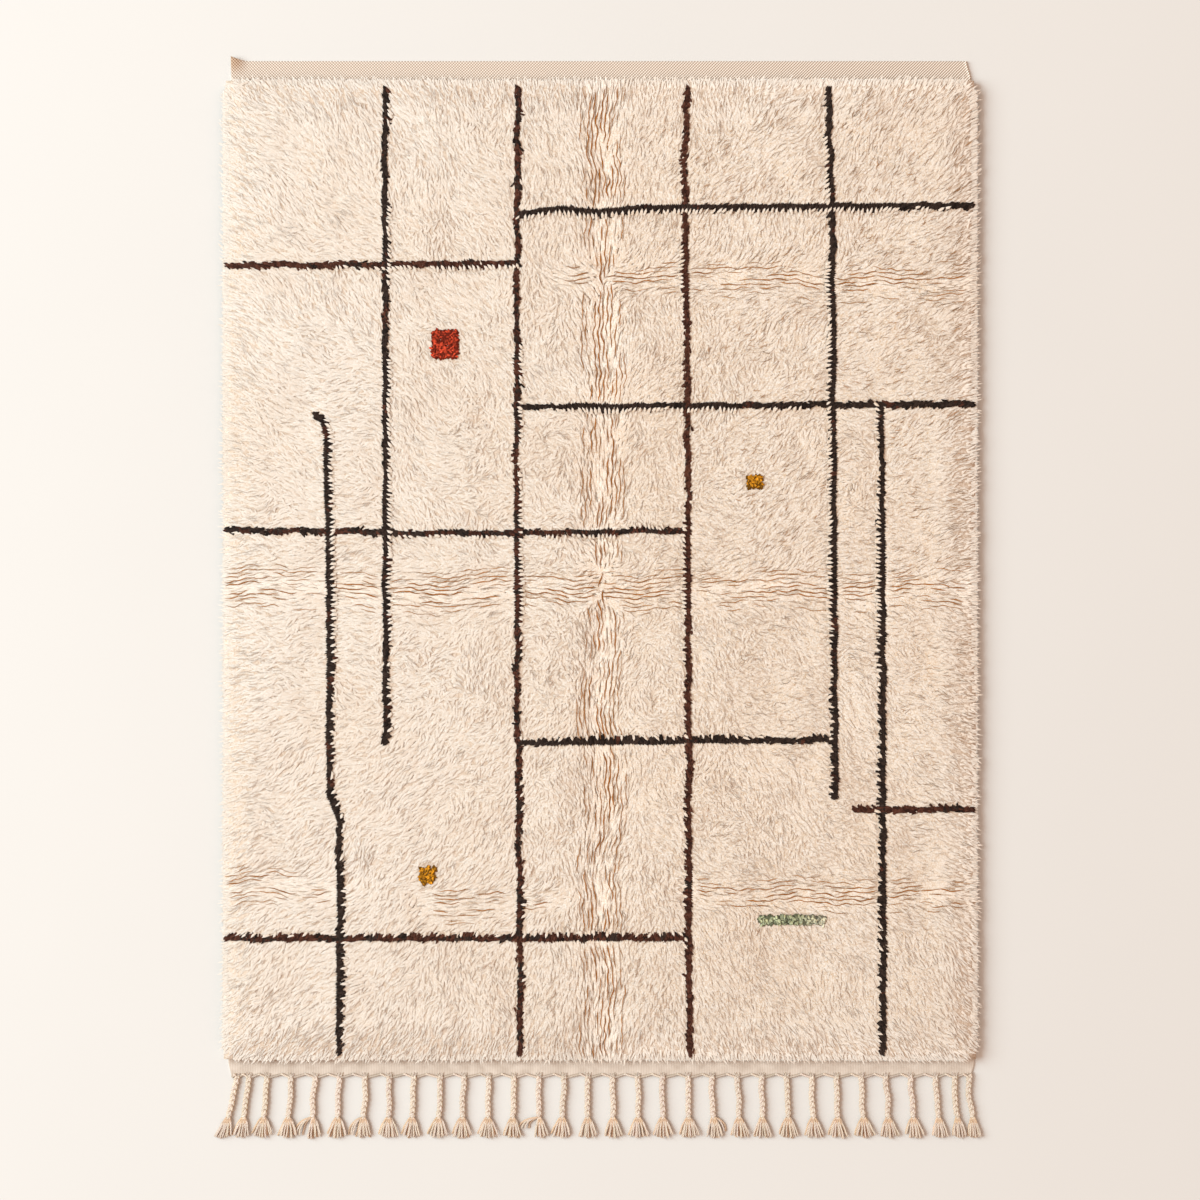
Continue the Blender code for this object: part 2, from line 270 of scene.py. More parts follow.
# ---------------------------------------------------------------- the pattern
LINE_STEP = 0.0042
LINE_ACROSS = (-0.0027, 0.0026)
CORE_AHEAD = 0.0026
LINE_CLEAR = (0.0052, 0.0074)
LINE_WAVER = 0.0032
LINE_WAVER_SPAN = 0.040
LINE_JITTER = 0.0015
LINE_BRIGHT = (0.6, 2.2)
BROWN_SPAN = 0.030
TOOTH_EVERY = (0.0052, 0.0100)
TOOTH_BACK = (0.0052, 0.0078)
TOOTH_LEAST = 0.60
Line = namedtuple("Line", "brown route")
LINES = (
    Line(0.15, ((-0.425, 1.013), (-0.425, -0.287))),
    Line(0.55, ((-0.163, 1.015), (-0.166, 0.300), (-0.163, -0.300), (-0.158, -0.905))),
    Line(0.95, ((0.173, 1.015), (0.168, 0.850), (0.174, 0.400), (0.178, -0.905))),
    Line(0.10, ((0.452, 1.013), (0.460, 0.750), (0.464, 0.000), (0.467, -0.395))),
    Line(0.10, ((0.556, 0.382), (0.560, 0.000), (0.561, -0.905))),
    Line(0.20, (
        (-0.566, 0.369), (-0.550, 0.358), (-0.541, 0.325), (-0.536, 0.000),
        (-0.536, -0.385), (-0.516, -0.440), (-0.516, -0.903),
    )),
    Line(0.75, ((-0.742, 0.663), (-0.163, 0.665))),
    Line(0.10, ((-0.158, 0.764), (-0.080, 0.774), (0.000, 0.768), (0.080, 0.776), (0.744, 0.781))),
    Line(0.10, ((-0.158, 0.383), (0.744, 0.388))),
    Line(0.45, ((-0.742, 0.138), (-0.300, 0.133), (0.172, 0.136))),
    Line(0.15, ((-0.155, -0.283), (0.463, -0.277))),
    Line(0.80, ((0.505, -0.416), (0.744, -0.414))),
    Line(0.60, ((-0.742, -0.670), (0.176, -0.669))),
)
Accent = namedtuple("Accent", "x y half_x half_y round_off colour fade")
ACCENTS = (
    Accent(-0.307, 0.508, 0.0235, 0.0265, 0.0, RED, 0.0),
    Accent(0.307, 0.235, 0.0135, 0.0105, 0.1, OCHRE, 0.0),
    Accent(-0.342, -0.543, 0.0140, 0.0148, 0.85, OCHRE, 0.0),
    Accent(0.381, -0.633, 0.066, 0.0070, 0.5, GREEN, 0.45),
)
ACCENT_PITCH = 0.0038
ACCENT_FILL = 0.66
ACCENT_BRIGHT = (0.6, 1.7)
ACCENT_MARGIN = 0.0030
ACCENT_NEAR = 0.014

# ---------------------------------------------------------------- the ground's weave
GROUND_STEP = 0.0040
WEAVE_CELL = 0.0029
LOW_RIB_PITCH = 0.0050
LOW_RIB_UNEVEN = 1.2
WEAVE_RELIEF = 0.0010
WEAVE_STRAY = 0.0022
UNDER_SHAG = 0.006
HIDDEN_ROWS = (0.60, 0.20, -0.20, -0.60)

# ---------------------------------------------------------------- the fringe's yarns
PLY_PITCH = 0.0060
PLAIT_FROM = -0.001
PLAIT_RINGS, NECK_RINGS, TUFT_RINGS, ROOT_RINGS, CORD_RINGS = 34, 13, 9, 5, 12
ROOT_YARNS = 5
ROOT_YARN_HALF = 0.0011
ROOT_SPREAD = 0.0062
ROOT_CLIMB = 0.0085
PLAIT_PERIOD = 0.0320
PLAIT_SWING = 0.0031
PLAIT_LIFT = 0.0020
STRAND_FLAT = 0.80
PLAIT_WANDER = 0.0050
STRAND_HALF = 0.0030
TUFT_YARNS = 15
TUFT_YARN_HALF = 0.0017
TUFT_SPREAD = 0.0215
TUFT_KINK = 0.0007
NECK_HALF = 0.0044
Stray = namedtuple("Stray", "yarns aside down")
STRAYS = {
    4: Stray(4, -0.035, 0.037),
    6: Stray(3, -0.027, 0.037),
    13: Stray(4, -0.040, 0.024),
    20: Stray(2, 0.024, 0.030),
}
CORD_HALF = 0.0019
CORD_LOW = 0.0018
CORD_HIGH = -0.0058
CORD_TICK = 0.58
EDGE_DEPTH = 0.010

# ---------------------------------------------------------------- camera and light
LENS = 85.0
CAMERA_HEIGHT = 5.62
KEY_PLACE = (-11.6, 2.3, 8.0)
KEY_SIZE = 10.5
KEY_POWER = 2985
KEY_COLOUR = (0.763, 0.942, 1.012)
ROOM_COLOUR = (1.0, 0.738, 0.592, 1.0)
ROOM_STRENGTH = 0.69
FLOOR_HALF = 9


def stray(at, seed):
    """A smooth, repeatable number that rarely leaves -0.5 to 0.5."""
    return noise.noise(Vector((at, seed, 0.37 * seed)))


def eased(share):
    """0 below 0, 1 above 1, and a smooth step between."""
    share = min(max(share, 0.0), 1.0)
    return share * share * (3 - 2 * share)


def mixed(first, second, share):
    return first + (second - first) * share


def shares_of(count):
    """That many even shares from 0 to 1."""
    return [number / (count - 1) for number in range(count)]


# ================================================================ the shag's form and flow
def crease_wander(crease, along):
    """How far a fold mark strays from its straight line."""
    return crease.waver * stray(along / WAVER_SPAN, 5 + 40 * crease.place)


def crease_offset(crease, x, y):
    """Where a point lies along a fold mark, how far off it, and how strong the mark is there."""
    along, off = (x, y) if crease.along == "x" else (y, x)
    off -= crease.place + crease_wander(crease, along)
    fade = eased((along - crease.start) / CREASE_FADE + 1)
    fade *= eased((crease.end - along) / CREASE_FADE + 1)
    return along, off, fade


def crease_depth(x, y):
    """How deep the fold marks press the shag down at a point, measured from its middle."""
    deepest = 0.0
    for crease in CREASES:
        along, off, fade = crease_offset(crease, x, y)
        fade *= 1 + DEPTH_UNEVEN * stray(along / DEPTH_SPAN, 11 + crease.place)
        deepest = max(deepest, crease.depth * fade * math.exp(-((off / crease.width) ** 2)))
    return deepest


def to_edge(x, y):
    """How far inside the slab's rim a point lies, negative beyond it. y is from the middle."""
    half_length = SHAG_LENGTH / 2 - LOCK_REACH
    side = 1 if x > 0 else -1
    half_width = SHAG_WIDTH / 2 - LOCK_REACH - UPPER_DRAW_IN * eased(y / half_length)
    half_width += SIDE_WAVER * stray(y / SIDE_WAVER_SPAN, 2 + side)
    return min(half_width - abs(x), half_length - abs(y))


def surface(x, y):
    """The shag's height over a point: lumps, less the fold marks, falling to its rim. The tails
    fill the hollows in the part's slab, so they show only a share of its lumps and fold marks."""
    y -= SHAG_Y
    lumps = [
        lump.rise * noise.noise(Vector((x / lump.span, y / lump.span, lump.seed)))
        for lump in LUMPS
    ]
    full = SHAG_TOP + LUMPS_SHOWN * sum(lumps) - CREASES_SHOWN * crease_depth(x, y)
    inside = to_edge(x, y)
    beyond = max(-inside, 0.0) / LOCK_REACH
    return mixed(RIM_RISE * (1 - 0.25 * beyond), full, eased(inside / SHOULDER) ** 0.7)


def folded_at(x, y):
    """How deep the fold marks are at a point, as a share of the deepest. y is from the middle."""
    return min(crease_depth(x, y) / CREASES[0].depth, 1.0)


def flow_at(x, y):
    """Which way the tails lie at a point, as a vector whose length says how plainly: outwards
    from the middle, swirling on the way, and along the fold marks beside them. Also says how
    calmly they lie."""
    y -= SHAG_Y
    calm = 0.0
    side_room, end_room = SHAG_WIDTH / 2 - abs(x), SHAG_LENGTH / 2 - abs(y)
    free = RIM_FREE + (1 - RIM_FREE) * eased(min(end_room, side_room) / COMBED_RIM)
    flow = Vector((2 * x / SHAG_WIDTH, 2 * y / SHAG_LENGTH))
    for swirl in SWIRLS:
        for axis, seed in enumerate(swirl.seeds):
            flow[axis] += swirl.strength * free * noise.noise(Vector((x, y, seed)) / swirl.span)
    flow.x += SIDE_DRAW * eased(1 - side_room / DRAWN_RIM) * math.copysign(1, x)
    flow.y += END_DRAW * eased(1 - end_room / DRAWN_RIM) * math.copysign(1, y)
    for crease in CREASES:
        run, off, fade = crease_offset(crease, x, y)
        weight = fade * math.exp(-((off / (1.6 * crease.width)) ** 2))
        weight *= min(0.75 + 40 * crease.depth, 1.0)
        slope = (rib_phase(crease, x, y, 0.002) - rib_phase(crease, x, y, -0.002)) / 0.004
        sideways = 0.25 * off / crease.width - slope * RIB_PITCH
        if crease.along == "y":
            beside = Vector((sideways, 1)) * math.tanh(run / 0.15)
        else:
            beside = Vector((1, sideways)) * math.tanh((run - CREASES[0].place) / 0.12)
        flow = flow.lerp(beside, weight)
        calm = max(calm, weight)
    return flow, calm


def rib_phase(crease, x, y, further=0.0):
    """How many ribs a point is off a fold mark, or the point a little further along it."""
    if crease.along == "y":
        y += further
    else:
        x += further
    run, off, _ = crease_offset(crease, x, y)
    return (off + rib_wander(run)) / RIB_PITCH


def rib_wander(run):
    """How far the ribs beside a fold mark wander off its line."""
    return sum(wander.reach * stray(run / wander.span, wander.seed) for wander in RIB_WANDERS)


def rib_open(run, number):
    """How open a parting between two ribs is: 0 where the wool closes over it, and 1 at most."""
    return eased((stray(run / 0.055 + number * 7.3, 77) + 0.20) / 0.25)


def rib_shift(x, y):
    """Beside a fold mark the wool parts into long ribs: how far a tail moves away from the
    nearest parting, and how much lower it lies."""
    y -= SHAG_Y
    shift, drop = Vector((0.0, 0.0)), 0.0
    for crease in CREASES:
        run, off, fade = crease_offset(crease, x, y)
        weight = fade * math.exp(-((off / (1.5 * crease.width)) ** 2))
        weight *= 0.25 + 0.75 * crease.depth / CREASES[0].depth
        if weight < 0.05:
            continue
        phase = rib_phase(crease, x, y)
        nearest = round(phase)
        from_gap = phase - nearest
        gap = min(weight * 1.3, 1.0) * rib_open(run, nearest)
        move = math.copysign(RIB_PUSH * gap * (1 - 2 * abs(from_gap)), from_gap)
        shift += Vector((move, 0)) if crease.along == "y" else Vector((0, move))
        drop += RIB_DROP * gap * math.exp(-((from_gap / RIB_NARROW) ** 2))
    return shift, drop


def clumped(x, y):
    """Tails gather in clumps: the pull towards the nearest clump's middle, and the drop near
    the border between two."""
    near, places = noise.voronoi(Vector((x, y, 0.0)) / CLUMP_SPAN)
    middle = places[0] * CLUMP_SPAN
    pull = Vector((middle.x - x, middle.y - y)) * CLUMP_PULL
    broken = eased((noise.noise(Vector((x, y, 6.0)) / CLUMP_SPAN) + 0.05) / 0.15)
    border = math.exp(-(((near[1] - near[0]) / 0.13) ** 2))
    return pull, CLUMP_DROP * border * broken


# ================================================================ meshes
def mesh_of(name, points, corners, sizes, maps=(), colours=None):
    """A mesh from arrays: points, the faces' corners as point numbers, and the faces' sizes.
    maps are (name, array of u and v for each corner), and colours are one for each point."""
    mesh = bpy.data.meshes.new(name)
    mesh.vertices.add(len(points))
    mesh.vertices.foreach_set("co", np.asarray(points, np.float32).ravel())
    mesh.loops.add(len(corners))
    mesh.loops.foreach_set("vertex_index", np.asarray(corners, np.int32))
    mesh.polygons.add(len(sizes))
    starts = np.concatenate(([0], np.cumsum(sizes)[:-1])).astype(np.int32)
    mesh.polygons.foreach_set("loop_start", starts)
    mesh.update(calc_edges=True)
    for title, places in maps:
        layer = mesh.uv_layers.new(name=title)
        layer.data.foreach_set("uv", np.asarray(places, np.float32).ravel())
    if colours is not None:
        paint = mesh.color_attributes.new(name="yarn", type="FLOAT_COLOR", domain="POINT")
        rgba = np.ones((len(points), 4), np.float32)
        rgba[:, :3] = colours
        paint.data.foreach_set("color", rgba.ravel())
    mesh.shade_smooth()
    return mesh


def grid_faces(first, rows, columns, falling=False):
    """The faces of a grid whose points are numbered from first, row by row. They face up where
    its rows rise along y or, with falling, where its rows fall."""
    faces = []
    for row in range(rows):
        start = first + row * (columns + 1)
        for here in range(start, start + columns):
            above = here + columns + 1
            if falling:
                faces.append((here, above, above + 1, here + 1))
            else:
                faces.append((here, here + 1, above + 1, above))
    return faces


def faced_mesh(name, points, faces, colours):
    """A mesh from faces that list their points' numbers, and a colour for each point."""
    corners = [corner for face in faces for corner in face]
    return mesh_of(name, points, corners, [len(face) for face in faces], (), np.array(colours))


def placed(mesh, material, node):
    """The mesh as a piece that rides on the part and stands for a node."""
    mesh.materials.append(material)
    piece = bpy.data.objects.new(mesh.name, mesh)
    bpy.context.scene.collection.objects.link(piece)
    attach(piece, "root")
    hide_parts(node)
    return piece


def cells(count):
    """The lower left corner of each one's cell in a square chart, and the cell's size."""
    side = math.ceil(math.sqrt(count))
    number = np.arange(count)
    return np.stack((number % side, number // side), 1) / side, 1 / side


def ring_faces(rings, sides):
    """The faces of one closed tube that ends in a point: (point numbers, shares round, rings).
    A ring number of -1 marks the cap."""
    faces = [[(side, side / sides, -1) for side in range(sides)]]
    for ring in range(rings - 1):
        for side in range(sides):
            after = (side + 1) % sides
            here, there = side / sides, (side + 1) / sides
            low, high = ring * sides, (ring + 1) * sides
            faces.append([
                (low + after, there, ring),
                (low + side, here, ring),
                (high + side, here, ring + 1),
                (high + after, there, ring + 1),
            ])
    last, tip = (rings - 1) * sides, rings * sides
    for side in range(sides):
        after = (side + 1) % sides
        here, there = side / sides, (side + 1) / sides
        faces.append([
            (last + after, there, rings - 1),
            (last + side, here, rings - 1),
            (tip, (here + there) / 2, rings),
        ])
    return faces


def many_tubes(name, points, shares, sides, lengths, colours):
    """One mesh of many closed, pointed tubes. points is (tubes, rings * sides + 1, 3), shares
    the rings' and the tip's places along a tube, and colours (tubes, points, 3)."""
    count, each = points.shape[:2]
    faces = ring_faces(len(shares) - 1, sides)
    flat = [corner for face in faces for corner in face]
    numbers = np.array([corner[0] for corner in flat])
    round_share = np.array([corner[1] for corner in flat])
    along = np.array([0.0 if corner[2] < 0 else shares[corner[2]] for corner in flat])
    capped = np.array([corner[2] < 0 for corner in flat])
    corners = (np.arange(count)[:, None] * each + numbers[None]).ravel()
    sizes = np.tile([len(face) for face in faces], count)
    origin, size = cells(count)
    local = np.stack((0.04 + 0.92 * round_share, 0.12 + 0.84 * along), 1)
    local[capped, 1] = 0.04 + 0.05 * (round_share[capped] > 0.5)
    chart = origin[:, None] + local[None] * size
    fibre = np.empty((count, len(flat), 2))
    fibre[..., 0] = round_share[None]
    fibre[..., 1] = along[None] * lengths[:, None] + np.arange(count)[:, None] * 0.37
    return mesh_of(
        name,
        points.reshape(-1, 3),
        corners,
        sizes,
        (("OFBake", chart.reshape(-1, 2)), ("fibre", fibre.reshape(-1, 2))),
        colours.reshape(-1, 3),
    )


Tails = namedtuple("Tails", "tips angle reach bend foot top half colour")


def tail_mesh(name, tails, rings, tip_rise, root_shade=ROOT_PAINTED_SHADE, softness=SOFTNESS):
    """Three-sided tails that rise from their roots, bend over and taper to their tips, with painted
    shade on their lower parts.
    """
    along = np.stack((np.cos(tails.angle), np.sin(tails.angle)), 1)
    across = np.stack((-along[:, 1], along[:, 0]), 1)
    crest = TAIL_CREST * tails.half
    body = tails.top - tails.foot - crest
    points = np.empty((len(tails.tips), 3 * len(rings) + 1, 3))
    colours = np.empty_like(points)
    for number, ring in enumerate(rings):
        back = (tails.reach * (ring.share - 1))[:, None]
        sway = (tails.bend * tails.reach * (1 - ring.share) ** 2)[:, None]
        middle = tails.tips + along * back + across * sway
        level = tails.foot + body * ring.rise
        wide = (tails.half * ring.fill)[:, None]
        first = 3 * number
        points[:, first, :2] = middle + across * wide
        points[:, first + 1, :2] = middle - across * wide
        points[:, first, 2] = points[:, first + 1, 2] = level
        points[:, first + 2, :2] = middle
        points[:, first + 2, 2] = level + crest * ring.fill
        # painted shade, darkest at the root ring and gone by two thirds along
        deep = eased((0.6 - ring.share) / 0.5)
        painted_shade = mixed(np.ones(3), np.array(root_shade), deep)
        colours[:, first : first + 3] = (tails.colour * painted_shade)[:, None]
    points[:, -1, :2] = tails.tips
    points[:, -1, 2] = tails.foot + body * tip_rise + 0.4 * crest
    colours[:, -1] = tails.colour
    shares = [ring.share for ring in rings] + [1.0]
    mesh = many_tubes(name, points, shares, 3, tails.reach, colours)
    soften(mesh, softness, facing(points.reshape(-1, 3)))
    return mesh


def shag_facing():
    """The shag's normals on a coarse grid, rows along y."""
    sizes = (SHAG_WIDTH, SHAG_LENGTH)
    columns, rows = (math.ceil((size / 2 + LOCK_REACH) / SLOPE_STEP) for size in sizes)
    across = np.arange(-columns, columns + 1) * SLOPE_STEP
    along = np.arange(-rows, rows + 1) * SLOPE_STEP + SHAG_Y
    heights = np.array([[surface(x, y) for x in across] for y in along])
    rise_y, rise_x = np.gradient(heights, SLOPE_STEP)
    shown = [np.clip(-rise * SLOPE_SHOWN, -SLOPE_MOST, SLOPE_MOST) for rise in (rise_x, rise_y)]
    normals = np.stack((*shown, np.ones_like(heights)), 2)
    return normals / np.linalg.norm(normals, axis=2)[..., None]


def facing(points):
    """Which way the shag's surface faces at each point."""
    rows, columns = SHAG_NORMALS.shape[:2]
    column = points[:, 0] / SLOPE_STEP + (columns - 1) / 2
    row = (points[:, 1] - SHAG_Y) / SLOPE_STEP + (rows - 1) / 2
    column, row = np.clip(column, 0, columns - 1.001), np.clip(row, 0, rows - 1.001)
    left, low = column.astype(int), row.astype(int)
    right_share, high_share = (column - left)[:, None], (row - low)[:, None]
    under = mixed(SHAG_NORMALS[low, left], SHAG_NORMALS[low, left + 1], right_share)
    over = mixed(SHAG_NORMALS[low + 1, left], SHAG_NORMALS[low + 1, left + 1], right_share)
    return mixed(under, over, high_share)


def soften(mesh, softness, towards=np.array((0.0, 0.0, 1.0))):
    """Turns the normals part of the way to another direction, as loose fibres blur their sides."""
    normals = np.empty(len(mesh.vertices) * 3, np.float32)
    mesh.vertex_normals.foreach_get("vector", normals)
    normals = normals.reshape(-1, 3) + softness * towards
    normals /= np.maximum(np.linalg.norm(normals, axis=1), 1e-6)[:, None]
    mesh.normals_split_custom_set_from_vertices(normals)


def grown(centres, colour, growth):
    """Tails whose shown parts lie at the given centres."""
    count = len(centres)
    rows = []
    for x, y in centres:
        flow, calm = flow_at(x, y)
        strength = min(flow.length, 1.0)
        shift, drop = rib_shift(x, y)
        deep = drop / RIB_DROP
        if growth.gathers:
            pull, low = clumped(x, y)
            shift += pull * strength
            drop += low
            deep += 0.4 * low / CLUMP_DROP
        # painted light: cream tails are brighter in the fold marks and on the right shoulder
        shoulder = eased(1 - to_edge(x, y - SHAG_Y) / SHOULDER) if x > 0 else 0.0
        bright = 1 + FOLD_PAINTED_LIGHT * folded_at(x, y - SHAG_Y) + SHOULDER_PAINTED_LIGHT * shoulder
        angle, top = math.atan2(flow.y, flow.x), surface(x, y) - drop
        rows.append((x + shift.x, y + shift.y, angle, strength, calm, top, deep, bright))
    columns = np.array(rows).T
    tips, (angle, strength, calm, top, deep, bright) = columns[:2].T, columns[2:]
    restless = (1.5 - strength) * (1 - 0.75 * calm)
    angle += rng.normal(0, 1, count) * growth.astray * restless
    reach = (SHORT_REACH + (LONG_REACH - SHORT_REACH) * strength) * growth.reach_share
    reach *= rng.uniform(0.82, 1.18, count)
    ahead = TIP_AHEAD * reach / LONG_REACH
    tips += np.stack((np.cos(angle), np.sin(angle)), 1) * ahead[:, None]
    top += rng.normal(0, 1, count) * TOP_UNEVEN + growth.lift
    foot = np.minimum(TAIL_FOOT, top - 0.006)
    foot = np.maximum(foot, GROUND_THICK + CLEARANCE)
    bend = rng.normal(0, 0.22, count) * (1 - 0.8 * calm)
    half = growth.half * rng.uniform(0.80, 1.22, count)
    if growth.gathers:
        # painted shade on tails that lie lower in the ribs' partings and at clumps' borders
        depth = 0.05 * np.clip(deep, 0, 1)[:, None]
        colour = mixed(colour, DEEP_PAINTED_SHADE, depth) * bright[:, None]
    return Tails(tips, angle, reach, bend, foot, top, half, colour)


# ================================================================ the pattern
def walked(route, step, seed):
    """Points a step apart on a route that wavers, each with the way it runs."""
    stations = []
    for (x0, y0), (x1, y1) in zip(route, route[1:]):
        first, run = Vector((x0, y0)), Vector((x1 - x0, y1 - y0))
        ahead = run.normalized()
        aside = Vector((-ahead.y, ahead.x))
        for number in range(max(round(run.length / step), 1)):
            spot = first + ahead * (number * step)
            at = (spot.x + spot.y) / LINE_WAVER_SPAN
            waver = LINE_WAVER * (stray(at, seed) + 0.35 * stray(at * 3.3, seed + 9))
            stations.append((spot + aside * waver, aside))
    return stations


def line_stations():
    """The knots' places along all the lines, each with its line and its number there, the way
    across the line, and the way the shag leans."""
    for seed, line in enumerate(LINES):
        for number, (spot, aside) in enumerate(walked(line.route, LINE_STEP, 20 + seed)):
            yield seed, number, spot, aside, flow_at(spot.x, spot.y)[0].normalized()


def line_tails():
    """The dark lines' knots and their colours, the lines' middles, and the dense cores there."""
    spots, colours, middles, cores = [], [], [], []
    for seed, number, spot, aside, flow in line_stations():
        middles.append(spot)
        cores.append(spot + flow * CORE_AHEAD * abs(flow.dot(aside)))
        patch = 0.5 + 1.1 * stray(number * LINE_STEP / BROWN_SPAN, 50 + seed)
        for off in LINE_ACROSS:
            shift = rng.normal(0, LINE_JITTER, 2)
            spots.append((spot.x + aside.x * off + shift[0], spot.y + aside.y * off + shift[1]))
            brown = 1.0 if mixed(patch, rng.random(), 0.45) < LINES[seed].brown else 0.0
            colours.append(mixed(CHARCOAL, BROWN, brown) * rng.uniform(*LINE_BRIGHT))
    return np.array(spots), np.array(colours), middles, np.array(cores)


def line_teeth():
    """Cream tails whose tips lie over a dark line from the side that the shag leans from."""
    spots = []
    for _, number, spot, aside, flow in line_stations():
        over = abs(flow.dot(aside))
        if number == 0:
            wait = 0.0
        wait -= LINE_STEP
        if wait < 0 and over > TOOTH_LEAST:
            spots.append(spot - flow * (rng.uniform(*TOOTH_BACK) / over))
            wait = rng.uniform(*TOOTH_EVERY) * mixed(1, 3, eased(-spot.y / 0.25))
    return np.array(spots)


def within(accent, x, y, margin=0.0):
    """Whether a point lies in an accent, whose corners may be rounded off."""
    u = abs(x - accent.x) / (accent.half_x + margin)
    v = abs(y - accent.y) / (accent.half_y + margin)
    power = mixed(12, 2, accent.round_off)
    return u**power + v**power < 1


def near_accent(x, y, margin):
    return any(within(accent, x, y, margin) for accent in ACCENTS)


def accent_tails():
    """The accents' knots and their colours. A fading one is paler towards its right end."""
    spots, colours = [], []
    for accent in ACCENTS:
        left, low = accent.x - accent.half_x, accent.y - accent.half_y
        right, high = accent.x + accent.half_x + 1e-6, accent.y + accent.half_y + 1e-6
        for x in np.arange(left, right, ACCENT_PITCH):
            for y in np.arange(low, high, ACCENT_PITCH):
                spot = (x, y) + rng.normal(0, 0.0010, 2)
                if within(accent, *spot, 0.002):
                    pale = accent.fade * eased((x - accent.x) / accent.half_x)
                    spots.append(spot)
                    colours.append(mixed(accent.colour, CREAM, pale) * rng.uniform(0.70, 1.30))
    return np.array(spots), np.array(colours)


def line_tree(middles):
    """Finds how far the nearest line is."""
    tree = kdtree.KDTree(len(middles))
    for number, spot in enumerate(middles):
        tree.insert((spot.x, spot.y, 0), number)
    tree.balance()
    return tree


def cream_spots(tree):
    """Where cream tails show: a jittered grid over the shag, less the lines and accents."""
    half_x, half_y = SHAG_WIDTH / 2 - RIM_ROOM, SHAG_LENGTH / 2 - RIM_ROOM
    columns, rows = round(2 * half_x / TAIL_PITCH), round(2 * half_y / TAIL_PITCH)
    x, y = np.meshgrid(np.linspace(-half_x, half_x, columns), np.linspace(-half_y, half_y, rows))
    spots = np.stack((x.ravel(), y.ravel() + SHAG_Y), 1)
    spots += rng.uniform(-0.46, 0.46, spots.shape) * TAIL_PITCH
    keep = []
    for (x, y), clear in zip(spots, rng.uniform(*LINE_CLEAR, len(spots))):
        away = tree.find((x, y, 0))[2]
        shown = [(x, y)]
        if away < LINE_NEAR or near_accent(x, y, ACCENT_NEAR):
            ahead = flow_at(x, y)[0].normalized() * TIP_AHEAD
            away = min(away, tree.find((x + ahead.x, y + ahead.y, 0))[2] + 0.0020)
            shown.append((x + 0.7 * ahead.x, y + 0.7 * ahead.y))
        covers = any(near_accent(*spot, ACCENT_MARGIN) for spot in shown)
        keep.append(away > clear and not covers and corner_room(x, y) > 0)
    return spots[keep]


def corner_room(x, y):
    """How far inside the line that cuts off the shag's nearest corner a point lies."""
    return SHAG_WIDTH / 2 - abs(x) + SHAG_LENGTH / 2 - abs(y - SHAG_Y) - CORNER_CUT


def cream_colours(spots):
    """Cream wool: slow warm patches, each tail a little lighter or darker, a few tan ones. It
    has painted light that makes it fairer towards the right, but not at the lower end."""
    count = len(spots)
    patches = np.array([noise.noise(Vector((x, y, 4.0)) / 0.21) for x, y in spots])
    fine = np.array([noise.noise(Vector((x, y, 9.0)) / 0.05) for x, y in spots])
    tan = np.clip(0.09 + 0.18 * patches + 0.09 * fine + rng.normal(0, 0.035, count), 0, 0.6)
    tan += (rng.random(count) < 0.012) * 0.20
    shade = rng.normal(1.0, 0.018, count)
    # painted light, fairer towards the right
    right_light = [eased(0.5 + x / SHAG_WIDTH) * eased(1.7 * (y + 1)) for x, y in spots]
    shade *= 1 + RIGHT_PAINTED_LIGHT * np.array(right_light)
    return mixed(CREAM, TAN, tan[:, None]) * shade[:, None]


def strand_mesh(name, paths, halves, colours):
    """Thin strands that lie on the shag along the given paths and taper to both ends."""
    paths, halves = np.array(paths), np.array(halves)
    count, stations = paths.shape[:2]
    ahead = np.gradient(paths, axis=1)
    ahead /= np.maximum(np.linalg.norm(ahead, axis=2), 1e-9)[..., None]
    across = np.stack((-ahead[..., 1], ahead[..., 0]), 2)
    level = np.array([[surface(x, y) + PARTING_LIFT for x, y in path] for path in paths])
    points = np.empty((count, 3 * (stations - 1) + 1, 3))
    for number in range(stations - 1):
        share = number / (stations - 1)
        wide = (halves * (0.25 + 0.75 * math.sin(math.pi * share)))[:, None]
        first = 3 * number
        points[:, first, :2] = paths[:, number] + across[:, number] * wide
        points[:, first + 1, :2] = paths[:, number] - across[:, number] * wide
        points[:, first + 2, :2] = paths[:, number]
        points[:, first : first + 2, 2] = level[:, number, None] - 0.0003
        points[:, first + 2, 2] = level[:, number]
    points[:, -1, :2] = paths[:, -1]
    points[:, -1, 2] = level[:, -1] - 0.0002
    shares = list(np.linspace(0, 1, stations))
    lengths = np.linalg.norm(np.diff(paths, axis=1), axis=2).sum(1)
    painted = np.repeat(np.array(colours)[:, None], points.shape[1], 1)
    mesh = many_tubes(name, points, shares, 3, lengths, painted)
    soften(mesh, SOFTNESS, facing(points.reshape(-1, 3)))
    return mesh


